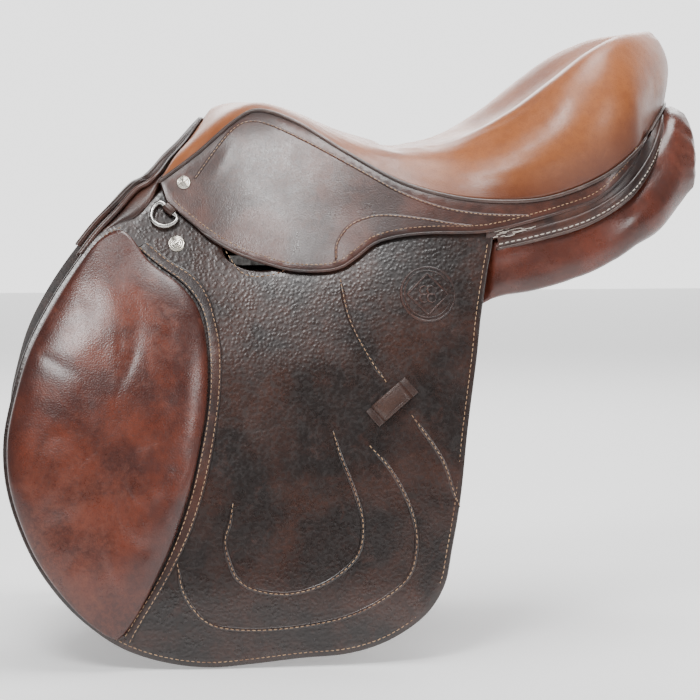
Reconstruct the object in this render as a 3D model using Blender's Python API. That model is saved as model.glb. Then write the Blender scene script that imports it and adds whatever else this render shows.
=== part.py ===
"""English all-purpose saddle, at rest, as separate closed solids.

+X runs to the cantle, -X to the pommel, +Z is up. The near (left) side is -Y.
The origin lies on the middle plane, on the underside of the gullet's roof, below the seat's lowest point.
Lengths below are in millimetres and objects are in metres.
"""
import math

import bmesh
import bpy
import numpy as np
from mathutils import Matrix, Vector
from mathutils.geometry import delaunay_2d_cdt

MM = 0.001

# ---- driving dimensions ----
SADDLE_LENGTH = 593.0  # foremost point of the flap to the back of the panel
SADDLE_HEIGHT = 523.0  # foot of the flap to the top of the cantle
SADDLE_WIDTH = 368.0  # across the outer faces of the two flaps
FLAP_THICKNESS = 4.0
SKIRT_THICKNESS = 3.5
SKIRT_GAP = 2.0  # flap to skirt, room for the ring's chape
SWEAT_FLAP_THICKNESS = 3.0
BILLET_THICKNESS = 3.0
BILLET_WIDTH = 26.0
BILLET_PITCH = 32.0
BILLET_LENGTH = 248.0
LAYER_GAP = 2.5  # clear space between flap, billets and sweat flap
PANEL_GAP = 2.0  # sweat flap to panel
KNEE_PAD_HEIGHT = 19.0  # crown of the pad above the flap
PAD_EDGE_HEIGHT = 4.0
PAD_SEAT = 1.5  # the cushion's flat facets stand this far off the flap's
SEAT_LEATHER = 2.5
SEAT_PADDING = 28.0  # seat's surface to its floor on the middle line; it grows with the saddle's height
RIM_PADDING = 24.0
TREE_THICKNESS = 10.0
SPRING_THICKNESS = 1.5
BAR_WALL = 3.5  # stirrup bar's back plate
BLADE_HEIGHT = 8.0
BLADE_DEPTH = 4.0
RING_WIRE = 3.8
RING_REACH = 17.0
CHAPE_THICKNESS = 1.2
NAIL_RADIUS = 6.0
POMMEL_NAIL_RADIUS = 7.2
NAIL_HEIGHT = 3.0
KEEPER_RISE = 5.0
KEEPER_THICKNESS = 2.0
WELT_HEIGHT = 10.0
WELT_DEPTH = 3.5
FIT = 0.4  # clear gap between touching pieces
FOLD_GAP = 0.8  # gap along a fold line
RING_LIFT = RING_WIRE / 2 + FIT + CHAPE_THICKNESS + 0.3  # ring's bar above the flap

LX, LY, LZ = SADDLE_LENGTH / 593.0, SADDLE_WIDTH / 368.0, SADDLE_HEIGHT / 523.0

# ---- layers, as distances outward from the side surface ----
FLAP_OUT = FLAP_THICKNESS / 2
FLAP_IN = -FLAP_THICKNESS / 2
SKIRT_IN = FLAP_OUT + SKIRT_GAP
SKIRT_OUT = SKIRT_IN + SKIRT_THICKNESS
BILLET_B = FLAP_IN - LAYER_GAP - BILLET_THICKNESS / 2
BILLET_A = BILLET_B - LAYER_GAP - BILLET_THICKNESS
SWEAT_OUT = BILLET_A - BILLET_THICKNESS / 2 - LAYER_GAP - 0.5
SWEAT_IN = SWEAT_OUT - SWEAT_FLAP_THICKNESS
PANEL_OUT = SWEAT_IN - PANEL_GAP
POINT_OUT, POINT_IN = -24.0, -34.0
PLATE_OUT = POINT_OUT + 2.0 + BAR_WALL
PLATE_IN = POINT_OUT + 2.0


def xyz(rows):
    """Table rows (x, y, z) drawn at the nominal size, brought to the size above."""
    return [(x * LX, y * LY, z * LZ) for x, y, z in rows]


def xz(rows):
    return [(x * LX, z * LZ) for x, z in rows]


# ---- the side surface: half-width against height, at the pommel and behind the seat ----
FRONT_PROFILE = [(-388, 184), (-293, 177), (-208, 163), (-118, 138), (-48, 110), (-8, 91), (30, 74),
                 (57, 62), (77, 52), (97, 38), (110, 30)]
REAR_PROFILE = [(-388, 180), (-248, 170), (-163, 160), (-73, 146), (-23, 134), (12, 126), (62, 118)]
GRID_X = [-368, -330, -295, -262, -235, -210, -185, -155, -125, -95, -60, -25, 10, 45, 80, 115, 148, 172,
          192, 208, 222]
GRID_Z = [-380, -340, -300, -260, -220, -180, -140, -105, -75, -50, -30, -10, 10, 30, 50, 70, 88, 105]


def interpolate(table, at):
    return float(np.interp(at, [row[0] for row in table], [row[1] for row in table]))


def smooth(t):
    t = min(max(t, 0.0), 1.0)
    return t * t * (3 - 2 * t)


def side_form(x, z):
    """Half-width of the saddle's side at (x, z) before it is made into flat facets."""
    x, z = x / LX, z / LZ
    t = smooth((x + 180) / 280)
    y = (1 - t) * interpolate(FRONT_PROFILE, z) + t * interpolate(REAR_PROFILE, z)
    if x > 148:
        y *= math.sqrt(max(0.05, 1 - ((x - 148) / 82) ** 2))
    return y * LY


GX = [x * LX for x in GRID_X]
GZ = [z * LZ for z in GRID_Z]
HEIGHTS = [[side_form(x, z) for z in GZ] for x in GX]


def cell(values, at):
    i = int(np.searchsorted(values, at, side="right")) - 1
    return min(max(i, 0), len(values) - 2)


def side(x, z):
    """Half-width of the faceted side at (x, z). Every layer is a copy of these facets moved outward."""
    i, j = cell(GX, x), cell(GZ, z)
    u = (x - GX[i]) / (GX[i + 1] - GX[i])
    v = (z - GZ[j]) / (GZ[j + 1] - GZ[j])
    a, b = HEIGHTS[i][j], HEIGHTS[i + 1][j + 1]
    if u >= v:
        corner = HEIGHTS[i + 1][j]
        return a + u * (corner - a) + v * (b - corner)
    corner = HEIGHTS[i][j + 1]
    return a + v * (corner - a) + u * (b - corner)


def frame_on_side(x, z, along, out, lift):
    """(origin, along, across, normal) of a tangent plane, lift mm square off the near layer at distance out."""
    step = 3.0
    sx = (side(x + step, z) - side(x - step, z)) / (2 * step)
    sz = (side(x, z + step) - side(x, z - step)) / (2 * step)
    normal = Vector((-sx, -1.0, -sz)).normalized()
    a = Vector((along[0], -(sx * along[0] + sz * along[1]), along[1])).normalized()
    across = normal.cross(a).normalized()
    return Vector((x, -side(x, z) - out, z)) + normal * lift, a, across, normal


# ---- outlines of the near side's sheets, (x, z) ----
FLAP_FRONT = [(-247, -1), (-263, -9), (-280, -28), (-305, -64), (-326, -104), (-338, -144), (-344, -175),
              (-343, -207), (-335, -239), (-319, -275), (-295, -308), (-267, -333), (-243, -347)]
FLAP_FOOT = [(-211, -357), (-178, -361), (-145, -359), (-104, -355), (-63, -352), (-30, -342), (0, -322),
             (16, -298), (22.5, -269), (30, -228), (37, -171), (46, -110)]
FOLD_A, FOLD_B = (-268, -14), (54, -102)  # the flap folds out along this line
FLAP_TOP_REAR = [(50, -78), (57, -40), (62, -14)]
FLAP_TOP = [(60, 4), (30, 6), (0, 6), (-60, 10), (-120, 20), (-180, 30), (-209, 27), (-222, 15), (-234, 3)]
SLOT = [(-160, -19), (-98, -19), (-98, -30), (-106, -36), (-120, -40.5), (-138, -41), (-150, -37), (-160, -29)]
PAD_REAR = [(-244, -8), (-222, -34), (-198, -52), (-183, -73), (-177, -105), (-178, -145), (-185, -185),
            (-198, -233), (-218, -281), (-251, -335)]
PAD_FRONT = [(-269, -328), (-294, -304), (-317, -272), (-332, -238), (-340, -207), (-341, -175), (-335, -144),
             (-323, -105), (-302, -66), (-277, -30), (-261, -13)]
BAND_INNER = [(-216, -36), (-194.5, -52.5), (-180.5, -73), (-175.5, -105), (-176.5, -145), (-183.5, -185),
              (-196.5, -233.5), (-216.7, -282), (-248, -333)]
BAND_OUTER = [(-243, -341), (-235, -326), (-213, -290), (-192, -249), (-177, -201), (-167, -145), (-165, -105),
              (-169, -80), (-176, -57), (-188, -43), (-204, -33.5)]
SKIRT_TAIL = [(196, 65), (180, 43), (151, 19), (124, 9), (92, 0), (62, -7)]
SKIRT_FOLD_A, SKIRT_FOLD_B = (-210.5, 22), (43, -9)
SKIRT_EDGE = [(10, -9.5), (-15, -12), (-36, -18), (-52, -30), (-65, -38), (-82, -41), (-106, -40), (-129, -34),
              (-151, -26), (-172, -14), (-196, 5), (-208, 16)]
SWEAT_FLAP = [(-200, -54), (-228, -62), (-262, -88), (-296, -128), (-312, -175), (-306, -222), (-282, -268),
              (-244, -306), (-190, -328), (-130, -332), (-70, -326), (-20, -306), (2, -270), (10, -220),
              (18, -160), (26, -100), (30, -54)]
TREE_POINT = [(-196, 18), (-150, 22), (-110, 16), (-112, -14), (-136, -34), (-150, -44), (-182, -42), (-196, -16)]
BAR_PLATE = [(-172, -8), (-112, -8), (-112, -42), (-172, -42)]

# ---- the seat: spine, rim and seam at each station from pommel to cantle ----
SPINE = [(-170, 0, 87), (-164, 0, 95), (-150, 0, 99), (-130, 0, 98.5), (-100, 0, 89.5), (-62, 0, 72), (-24, 0, 63),
         (12, 0, 61), (50, 0, 65), (84, 0, 74), (118, 0, 91), (150, 0, 114), (178, 0, 137), (196, 0, 149),
         (205, 0, 153)]
RIM = [(-188, 39, 65), (-168, 34, 84), (-151, 27, 94.5), (-130, 26, 98), (-100, 31, 89.5), (-58, 43, 72.5),
       (-17, 59, 61.5), (20, 72, 62), (52, 86, 72), (84, 99, 92), (118, 105, 119), (150, 95, 142), (182, 71, 156),
       (211, 35, 162), (225, 0, 163)]
SEAM = [(-213, 33), (-180, 57), (-151, 81.5), (-130, 92.5), (-100, 84), (-56, 57), (-13, 33), (28, 21), (68, 17),
        (109, 20), (153, 36), (187, 59), (214, 84), (228, 97), (232, 101)]
SEAM_WIDTH_REAR = {12: 62.0, 13: 30.0, 14: 0.0}  # half-width of the last stations, behind the side surface
DISH = [0, 0, 0, 0, 0, 1, 1, 0, -3, -6, -8, -7, -5, -3, -1]
BULGE = [0.10, 0.10, 0.12, 0.14, 0.14, 0.14, 0.15, 0.16, 0.18, 0.19, 0.20, 0.20, 0.20, 0.20, 0.20]

# ---- the panel: sections of the near side, each A B C D E F G from the gullet over the top and back below ----
PANEL = [
    (-246, (56, -6), (61, -6), (66, -10), (72, -34), (75, -58), (69, -60), (60, -40)),
    (-225, (47, 12), (53, 9), (58, 0), (78, -52), (94, -110), (79, -112), (56, -60)),
    (-196, (36, 26), (40, 22), (43, 8), (78, -60), (104, -150), (87, -150), (50, -60)),
    (-150, (32, 34), (37, 30), (44, 12), (79, -64), (110, -165), (91, -165), (42, -30)),
    (-105, (29, 22), (37, 20), (52, 3), (92, -62), (112, -135), (90, -120), (38, -25)),
    (-60, (28, 9), (45, 8), (74, -2), (101, -52), (114, -105), (84, -85), (36, -30)),
    (-10, (28, 1), (52, 2), (90, -8), (107, -50), (118, -90), (84, -70), (34, -40)),
    (40, (28, 1), (56, 2), (100, -10), (111, -44), (119, -78), (86, -60), (34, -42)),
    (66, (28, 3), (60, 4), (123, -16), (133, -38), (131, -64), (90, -58), (34, -40)),
    (97, (29, 10), (66, 8), (128, -12), (136, -34), (133, -58), (92, -52), (34, -32)),
    (136, (30, 26), (70, 22), (129, 0), (138, -22), (134, -46), (92, -40), (34, -16)),
    (163, (30, 42), (70, 36), (123, 14), (135, -9), (131, -34), (90, -26), (34, 2)),
    (187, (30, 56), (66, 50), (110, 28), (127, 5), (122, -20), (86, -10), (34, 18)),
    (209, (30, 68), (60, 62), (88, 46), (112, 21), (108, -8), (78, 4), (34, 34)),
    (232, (32, 79), (52, 74), (73, 60), (90, 38), (86, 12), (66, 22), (36, 50)),
    (246, (42, 76), (52, 72), (62, 63), (71, 46), (69, 31), (58, 36), (46, 56)),
]
ROOF = [(-150, 33), (-105, 21), (-60, 8), (-10, 0), (40, 0), (66, 2), (97, 9), (136, 25), (163, 41), (187, 55),
        (209, 67), (224, 74)]
WELT = [(66, 132, -17), (97, 135, -10), (136, 136, 1), (163, 131, 14), (184, 121, 29), (206, 95, 54),
        (222, 58, 80), (234, 0, 92)]
POMMEL_EDGE = [(-266, 90, -2), (-247, 83, 11), (-231, 73, 26), (-217, 70, 34), (-204, 52, 49), (-191.5, 36, 61.5),
               (-182, 18, 73), (-174, 0, 82)]
GULLET_PLATE = [(-176, 31, 32), (-171, 22, 35), (-166, 11, 37), (-165, 0, 37.5)]

# ---- materials: name, colour, metallic, roughness ----
MATERIALS = {
    "seat_leather": ((0.36, 0.15, 0.07), 0.0, 0.45),
    "skirt_leather": ((0.13, 0.055, 0.04), 0.0, 0.35),
    "flap_leather": ((0.065, 0.04, 0.034), 0.0, 0.4),
    "pad_leather": ((0.16, 0.07, 0.05), 0.0, 0.4),
    "panel_leather": ((0.17, 0.055, 0.035), 0.0, 0.45),
    "strap_leather": ((0.10, 0.05, 0.035), 0.0, 0.55),
    "edge_leather": ((0.05, 0.03, 0.025), 0.0, 0.5),
    "steel": ((0.6, 0.6, 0.6), 1.0, 0.3),
    "nickel": ((0.72, 0.70, 0.66), 1.0, 0.25),
    "beech": ((0.55, 0.38, 0.2), 0.0, 0.6),
    "foam": ((0.85, 0.8, 0.62), 0.0, 0.9),
    "webbing": ((0.7, 0.62, 0.45), 0.0, 0.9),
}


def clear_scene():
    for obj in list(bpy.data.objects):
        bpy.data.objects.remove(obj, do_unlink=True)


def material_for(node, slot):
    """One material for each object, so that each can be told apart."""
    colour, metallic, roughness = MATERIALS[slot]
    mat = bpy.data.materials.new(f"{node}_{slot}")
    mat.use_nodes = True
    shader = next(n for n in mat.node_tree.nodes if n.type == "BSDF_PRINCIPLED")
    shader.inputs["Base Color"].default_value = (*colour, 1.0)
    shader.inputs["Metallic"].default_value = metallic
    shader.inputs["Roughness"].default_value = roughness
    mat.diffuse_color = (*colour, 1.0)
    return mat


def add_solid(name, points, faces, slot, merge=0.0):
    """An object from points in mm and faces that close it. Its normals are turned outward."""
    bm = bmesh.new()
    made = [bm.verts.new(Vector(p) * MM) for p in points]
    for face in faces:
        corners = [made[i] for i in face]
        if len(set(corners)) > 2:
            bm.faces.new(corners)
    if merge:
        bmesh.ops.remove_doubles(bm, verts=bm.verts, dist=merge * MM)
    loose = [v for v in bm.verts if not v.link_faces]
    bmesh.ops.delete(bm, geom=loose, context="VERTS")
    bmesh.ops.recalc_face_normals(bm, faces=bm.faces)
    if bm.calc_volume(signed=True) < 0:
        bmesh.ops.reverse_faces(bm, faces=bm.faces)
    mesh = bpy.data.meshes.new(name)
    bm.to_mesh(mesh)
    bm.free()
    mesh.materials.append(material_for(name, slot))
    mesh.shade_smooth()
    mesh.set_sharp_from_angle(angle=math.radians(38))
    obj = bpy.data.objects.new(name, mesh)
    bpy.context.scene.collection.objects.link(obj)
    return obj


def both_sides(name, points, faces, slot, merge=0.0):
    """The near piece as NAME_left and its mirror as NAME_right."""
    left = add_solid(f"{name}_left", points, faces, slot, merge)
    mirrored = [(p[0], -p[1], p[2]) for p in points]
    right = add_solid(f"{name}_right", mirrored, faces, slot, merge)
    return left, right


def inside(point, loop):
    x, z = point
    hit = False
    for (ax, az), (bx, bz) in zip(loop, loop[1:] + loop[:1]):
        if (az > z) != (bz > z) and x < (bx - ax) * (z - az) / (bz - az) + ax:
            hit = not hit
    return hit


def rounded(points, closed=True, steps=2):
    """The loop or line with curved points put in between its own."""
    n = len(points)
    out = []
    for i in range(n if closed else n - 1):
        if closed:
            a, b, c, d = (Vector(points[(i + k) % n]) for k in (-1, 0, 1, 2))
        else:
            a, b, c, d = (Vector(points[min(max(i + k, 0), n - 1)]) for k in (-1, 0, 1, 2))
        for s in range(steps):
            t = s / steps
            p = 0.5 * (2 * b + (c - a) * t + (2 * a - 5 * b + 4 * c - d) * t * t
                       + (3 * b - a - 3 * c + d) * t ** 3)
            out.append(tuple(p))
    if not closed:
        out.append(tuple(points[-1]))
    return out


def plate(loop, inner, outer, hole=None, extra=()):
    """(points, faces) of the near side's sheet inside loop, between two distances off the side surface.

    inner and outer are numbers, or functions of (x, z). The sheet follows the side's own facets.
    """
    points = [Vector(p) for p in loop]
    edges = [(i, (i + 1) % len(loop)) for i in range(len(loop))]
    if hole:
        base = len(points)
        points += [Vector(p) for p in hole]
        edges += [(base + i, base + (i + 1) % len(hole)) for i in range(len(hole))]
    points += [Vector(p) for p in extra]
    lo = [min(p[k] for p in loop) for k in (0, 1)]
    hi = [max(p[k] for p in loop) for k in (0, 1)]
    i0, i1 = cell(GX, lo[0]), cell(GX, hi[0]) + 1
    j0, j1 = cell(GZ, lo[1]), cell(GZ, hi[1]) + 1
    index = {}
    for i in range(i0, i1 + 1):
        for j in range(j0, j1 + 1):
            index[i, j] = len(points)
            points.append(Vector((GX[i], GZ[j])))
    for (i, j), at in index.items():
        for step in ((1, 0), (0, 1), (1, 1)):
            if (i + step[0], j + step[1]) in index:
                edges.append((at, index[i + step[0], j + step[1]]))
    flat, _, triangles, *_ = delaunay_2d_cdt(points, edges, [], 0, 1e-3)
    kept = []
    for tri in triangles:
        centre = sum((flat[k] for k in tri), Vector((0, 0))) / 3
        if inside(centre, loop) and not (hole and inside(centre, hole)):
            kept.append(tuple(tri))
    used = sorted({k for tri in kept for k in tri})
    renumber = {k: n for n, k in enumerate(used)}
    kept = [tuple(renumber[k] for k in tri) for tri in kept]
    depth = [(f if callable(f) else (lambda x, z, f=f: f)) for f in (inner, outer)]
    solid = []
    for d in depth:
        solid += [(flat[k][0], -(side(*flat[k]) + d(*flat[k])), flat[k][1]) for k in used]
    count = len(used)
    border = {}
    for tri in kept:
        for a, b in zip(tri, tri[1:] + tri[:1]):
            if (b, a) in border:
                del border[b, a]
            else:
                border[a, b] = True
    faces = [tri for tri in kept] + [tuple(k + count for k in reversed(tri)) for tri in kept]
    faces += [(b, a, a + count, b + count) for a, b in border]
    return solid, faces


def off_line(a, b, distance):
    """The line a-b moved up (or, below zero, down) by distance, square to itself."""
    (ax, az), (bx, bz) = a, b
    long = math.hypot(bx - ax, bz - az)
    nx, nz = -(bz - az) / long, (bx - ax) / long
    return (ax + nx * distance, az + nz * distance), (bx + nx * distance, bz + nz * distance)


def on_line(a, b, x):
    return x, a[1] + (b[1] - a[1]) * (x - a[0]) / (b[0] - a[0])


def sweep(path, profile, up=Vector((0, 0, 1)), closed=False):
    """(points, faces) of a profile (outward, upward) carried along a path."""
    path = [Vector(p) for p in path]
    n, m = len(path), len(profile)
    points = []
    for i, p in enumerate(path):
        if closed:
            tangent = path[(i + 1) % n] - path[i - 1]
        else:
            tangent = path[min(i + 1, n - 1)] - path[max(i - 1, 0)]
        tangent.normalize()
        out = tangent.cross(up).normalized()
        top = out.cross(tangent).normalized()
        points += [p + out * a + top * b for a, b in profile]
    faces = []
    for i in range(n if closed else n - 1):
        for k in range(m):
            a, b = i * m + k, i * m + (k + 1) % m
            c, d = ((i + 1) % n) * m + (k + 1) % m, ((i + 1) % n) * m + k
            faces.append((a, b, c, d))
    if not closed:
        faces += [tuple(range(m)), tuple((n - 1) * m + k for k in reversed(range(m)))]
    return points, faces


def grid_faces(rows, columns, start=0):
    return [(start + i * columns + j, start + i * columns + j + 1, start + (i + 1) * columns + j + 1,
             start + (i + 1) * columns + j) for i in range(rows - 1) for j in range(columns - 1)]


def slab(top, bottom):
    """(points, faces) of the solid between two grids of points of one shape."""
    rows, columns = len(top), len(top[0])
    count = rows * columns
    points = [p for row in top for p in row] + [p for row in bottom for p in row]
    faces = grid_faces(rows, columns) + [tuple(reversed(f)) for f in grid_faces(rows, columns, count)]
    rim = [j for j in range(columns)]
    rim += [i * columns + columns - 1 for i in range(1, rows)]
    rim += [(rows - 1) * columns + j for j in range(columns - 2, -1, -1)]
    rim += [i * columns for i in range(rows - 2, 0, -1)]
    for a, b in zip(rim, rim[1:] + rim[:1]):
        faces.append((b, a, a + count, b + count))
    return points, faces


def mirrored_shell(top, bottom):
    """(points, faces) of a shell over both sides. Its spine and its last row lie on the middle plane."""
    rows, columns = len(top), len(top[0])
    points, faces = [], []
    for sign in (1, -1):
        base = len(points)
        for grid in (top, bottom):
            points += [(p[0], -abs(p[1]) * sign, p[2]) for row in grid for p in row]
        count = rows * columns
        faces += grid_faces(rows, columns, base)
        faces += grid_faces(rows, columns, base + count)
        for i in range(rows - 1):
            a, b = base + i * columns + columns - 1, base + (i + 1) * columns + columns - 1
            faces.append((a, b, b + count, a + count))
        for j in range(columns - 1):
            a, b = base + j, base + j + 1
            faces.append((a, b, b + count, a + count))
    return points, faces


def prism(corners, origin, axes, low, high):
    """(points, faces) of a flat polygon, given on two axes, pulled along the third between low and high."""
    a, b, c = axes
    points = [origin + a * p + b * q + c * low for p, q in corners]
    points += [origin + a * p + b * q + c * high for p, q in corners]
    n = len(corners)
    faces = [tuple(range(n)), tuple(range(2 * n - 1, n - 1, -1))]
    faces += [(i, (i + 1) % n, n + (i + 1) % n, n + i) for i in range(n)]
    return points, faces


def disc(origin, axes, profile, segments=14):
    """(points, faces) of a turned piece: profile is (radius, height), from its foot to its top."""
    a, b, c = axes
    points, faces = [origin + c * profile[0][1]], []
    for radius, height in profile:
        for k in range(segments):
            angle = 2 * math.pi * k / segments
            points.append(origin + (a * math.cos(angle) + b * math.sin(angle)) * radius + c * height)
    points.append(origin + c * profile[-1][1])
    rings = len(profile)
    for k in range(segments):
        nxt = (k + 1) % segments
        faces.append((0, 1 + nxt, 1 + k))
        for r in range(rings - 1):
            p, q = 1 + r * segments, 1 + (r + 1) * segments
            faces.append((p + k, p + nxt, q + nxt, q + k))
        top = 1 + (rings - 1) * segments
        faces.append((top + k, top + nxt, len(points) - 1))
    return points, faces


# ---- the seat's surface and its floor ----
def seam_point(i, out):
    x, z = SEAM[i][0] * LX, SEAM[i][1] * LZ
    if i in SEAM_WIDTH_REAR:
        y = SEAM_WIDTH_REAR[i] * LY
        return Vector((x, y, z))
    return Vector((x, side(x, z) + out, z))


SEAT_STEPS = [0.0, 0.15, 0.3, 0.45, 0.6, 0.7, 0.8, 0.9, 1.0]
RAIL_STEPS = [0.3, 0.45, 0.6]
WEB_STEPS = [-0.45, -0.3, -0.15, 0.0, 0.15, 0.3, 0.45]
HEAD_STEPS = [-0.8, -0.6, -0.3, 0.0, 0.3, 0.6, 0.8]
SEAT_CENTRE = Vector((100 * LX, 0, 55 * LZ))


def curve_through(knots, values, at):
    """Smooth curve through points at the given values."""
    k = max(i for i in range(len(values) - 1) if values[i] <= at + 1e-9)
    k = min(k, len(values) - 2)
    t = (at - values[k]) / (values[k + 1] - values[k])

    def slope(i):
        lo, hi = max(i - 1, 0), min(i + 1, len(values) - 1)
        return (knots[hi] - knots[lo]) / (values[hi] - values[lo])

    gap = values[k + 1] - values[k]
    p, q, m, n = knots[k], knots[k + 1], slope(k) * gap, slope(k + 1) * gap
    return (p * (2 * t ** 3 - 3 * t * t + 1) + m * (t ** 3 - 2 * t * t + t)
            + q * (3 * t * t - 2 * t ** 3) + n * (t ** 3 - t * t))


def seat_knots(i):
    """The points of station i's cross-curve, from the spine to the seam."""
    spine, rim = Vector(xyz([SPINE[i]])[0]), Vector(xyz([RIM[i]])[0])
    seam = seam_point(i, SKIRT_OUT - 0.5)
    inner = spine.lerp(rim, 0.5) + Vector((0, 0, DISH[i]))
    fall = seam - rim
    middle = rim.lerp(seam, 0.5)
    away = middle - SEAT_CENTRE if i > 7 else Vector((0, 0.8, 0.6))
    away -= fall * (away.dot(fall) / fall.length_squared)
    if i == len(SPINE) - 1:
        away.y = 0
    bulge = middle + away.normalized() * fall.length * BULGE[i]
    return [spine, inner, rim, bulge, seam]


SEAT_VALUES = [0.0, 0.3, 0.6, 0.8, 1.0]


def seat_grid():
    rows = []
    for i in range(len(SPINE)):
        knots = seat_knots(i)
        # the first knot's mirror keeps the surface level across the middle plane
        mirror = Vector((knots[1].x, -knots[1].y, knots[1].z))
        if i < len(SPINE) - 1:
            line = [curve_through([mirror] + knots, [-0.3] + SEAT_VALUES, v) for v in SEAT_STEPS]
            line[0].y = 0.0
        else:
            line = [curve_through(knots, SEAT_VALUES, v) for v in SEAT_STEPS]
            for p in line:
                p.y = 0.0
        rows.append(line)
    return rows


def lowered(rows, depth):
    """The grid moved inward by depth, square to its surface; the seam's row stays on a level line."""
    out = []
    count, columns = len(rows), len(rows[0])
    for i in range(count):
        line = []
        for j in range(columns):
            before, after = rows[max(i - 1, 0)][j], rows[min(i + 1, count - 1)][j]
            if i == count - 1:
                other = rows[i - 1][j]
                along = Vector((0, -other.y, 0)) if other.y > 1 else Vector((0, -1, 0))
            else:
                along = after - before
            left = rows[i][j - 1] if j else Vector((rows[i][1].x, -rows[i][1].y, rows[i][1].z))
            if j == 0 and i == count - 1:
                left = rows[i][0] * 2 - rows[i][1]
            right = rows[i][min(j + 1, columns - 1)]
            normal = along.cross(right - left)
            if normal.dot(rows[i][j] - Vector((rows[i][j].x * 0.8, 0, rows[i][j].z - 60))) < 0:
                normal = -normal
            if j == 0 or i == count - 1:
                normal.y = 0
            if j == columns - 1:
                x = rows[i][j].x - 130 * LX
                normal = Vector((x, rows[i][j].y, 0)) if x > 0 else Vector((0, 1, 0))
            normal.normalize()
            line.append(rows[i][j] - normal * depth)
        out.append(line)
    return out


def floor_point(u, v):
    """A point of the seat's floor: u counts stations, v runs -1 to 1 across."""
    side_sign = -1 if v < 0 else 1
    v = abs(v)
    i = min(int(u), len(SPINE) - 2)
    t = u - i

    def station(k):
        spine = Vector(xyz([SPINE[k]])[0]) - Vector((0, 0, SEAT_PADDING * LZ))
        rim = Vector(xyz([RIM[k]])[0])
        rim = Vector((rim.x - (8 if k > 10 else 0), rim.y * 0.93, rim.z - RIM_PADDING * LZ))
        seam = seam_point(k, 0)
        seam = Vector((seam.x - (4 if k > 11 else 0), max(seam.y - 5, 0), seam.z + 1))
        if v <= 0.6:
            return spine.lerp(rim, v / 0.6)
        return rim.lerp(seam, (v - 0.6) / 0.4)

    p = station(i).lerp(station(i + 1), t)
    return Vector((p.x, p.y * side_sign, p.z))


def floor_band(u0, u1, across, top, bottom):
    """(points, faces) of a band that follows the seat's floor station by station, between two depths below it."""
    along = [u0] + [u for u in range(len(SPINE)) if u0 + 0.15 < u < u1 - 0.15] + [u1]
    grids = [[[floor_point(u, v) - Vector((0, 0, depth)) for v in across] for u in along]
             for depth in (top, bottom)]
    return slab(*grids)


def near(solid):
    """The same piece on the near side."""
    points, faces = solid
    return [(p[0], -p[1], p[2]) for p in points], faces


# ---- the pieces ----
def build_tree():
    top, bottom = 4.5, 4.5 + TREE_THICKNESS
    both_sides("tree_rail", *near(floor_band(2.1, 10.9, RAIL_STEPS, top, bottom)), "beech")
    add_solid("tree_head", *floor_band(0.6, 2.0, HEAD_STEPS, top, bottom + 1.5), "beech")
    rows = []
    for depth in (top + 4, bottom + 4):
        line = []
        for u, sign in [(11.05, -1), (12.0, -1), (13.0, -1), (13.7, -1), (13.7, 1), (13.0, 1), (12.0, 1), (11.05, 1)]:
            line.append([floor_point(u, sign * v) - Vector((0, 0, depth)) for v in (0.45, 0.6, 0.8)])
        rows.append(line)
    add_solid("tree_cantle", *slab(*rows), "beech")
    add_solid("seat_webbing", *floor_band(2.1, 10.9, WEB_STEPS, 0.7, 2.0), "webbing")
    under = bottom + 2.0
    spring = near(floor_band(2.3, 10.7, [0.38, 0.45, 0.52], under, under + SPRING_THICKNESS))
    both_sides("spring_steel", *spring, "steel")
    both_sides("tree_point", *plate(xz(TREE_POINT), POINT_IN, POINT_OUT), "beech")
    half = [Vector(p) for p in xyz(GULLET_PLATE)]
    arch = [Vector((p.x, -p.y, p.z)) for p in half] + half[-2::-1]
    profile = [(-11, -1), (11, -1), (11, 1), (-11, 1)]
    add_solid("gullet_plate", *sweep(arch, profile, up=Vector((0, 0, 1))), "steel")


def build_seat():
    surface = seat_grid()
    cover_in = lowered(surface, SEAT_LEATHER)
    points, faces = mirrored_shell(surface, cover_in)
    add_solid("seat_cover", points, faces, "seat_leather", merge=0.02)
    foam_top = lowered(surface, SEAT_LEATHER + FIT)
    base = []
    for i, row in enumerate(foam_top):
        line = []
        for j, p in enumerate(row):
            v = SEAT_STEPS[j]
            f = floor_point(min(i, len(SPINE) - 1.001), v)
            line.append(Vector((f.x, 0.0 if (j == 0 or i == len(foam_top) - 1) else f.y, f.z)))
        base.append(line)
    # the foam stops short of the seam, where cover and skirt meet
    keep = len(SEAT_STEPS) - 1
    foam_top = [row[:keep] for row in foam_top]
    base = [row[:keep] for row in base]
    points, faces = mirrored_shell(foam_top, base)
    add_solid("seat_foam", points, faces, "foam", merge=0.02)


def build_panels():
    sections = []
    for x, *loop in PANEL:
        ring = []
        for y, z in loop:
            px, py, pz = xyz([(x, y, z)])[0]
            ring.append((px, -py, pz))
        sections.append(ring)
    n, m = len(sections), len(sections[0])
    points = [p for ring in sections for p in ring]
    faces = []
    for i in range(n - 1):
        for k in range(m):
            a, b = i * m + k, i * m + (k + 1) % m
            faces.append((a, b, b + m, a + m))
    for ring, order in ((0, 1), (n - 1, -1)):
        loop = list(range(ring * m, ring * m + m))[::order]
        centre = sum((Vector(points[k]) for k in loop), Vector()) / m
        centre.x += (6 if ring else -6) * LX
        points.append(tuple(centre))
        faces += [(loop[k], loop[(k + 1) % m], len(points) - 1) for k in range(m)]
    both_sides("panel", points, faces, "panel_leather")
    grids = []
    for lift in (0.0, 2.5):
        grids.append([[Vector((x * LX, y * LY, z * LZ + lift)) for y in (-27.2, 0, 27.2)] for x, z in ROOF])
    add_solid("gullet_roof", *slab(grids[1], grids[0]), "panel_leather")


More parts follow.
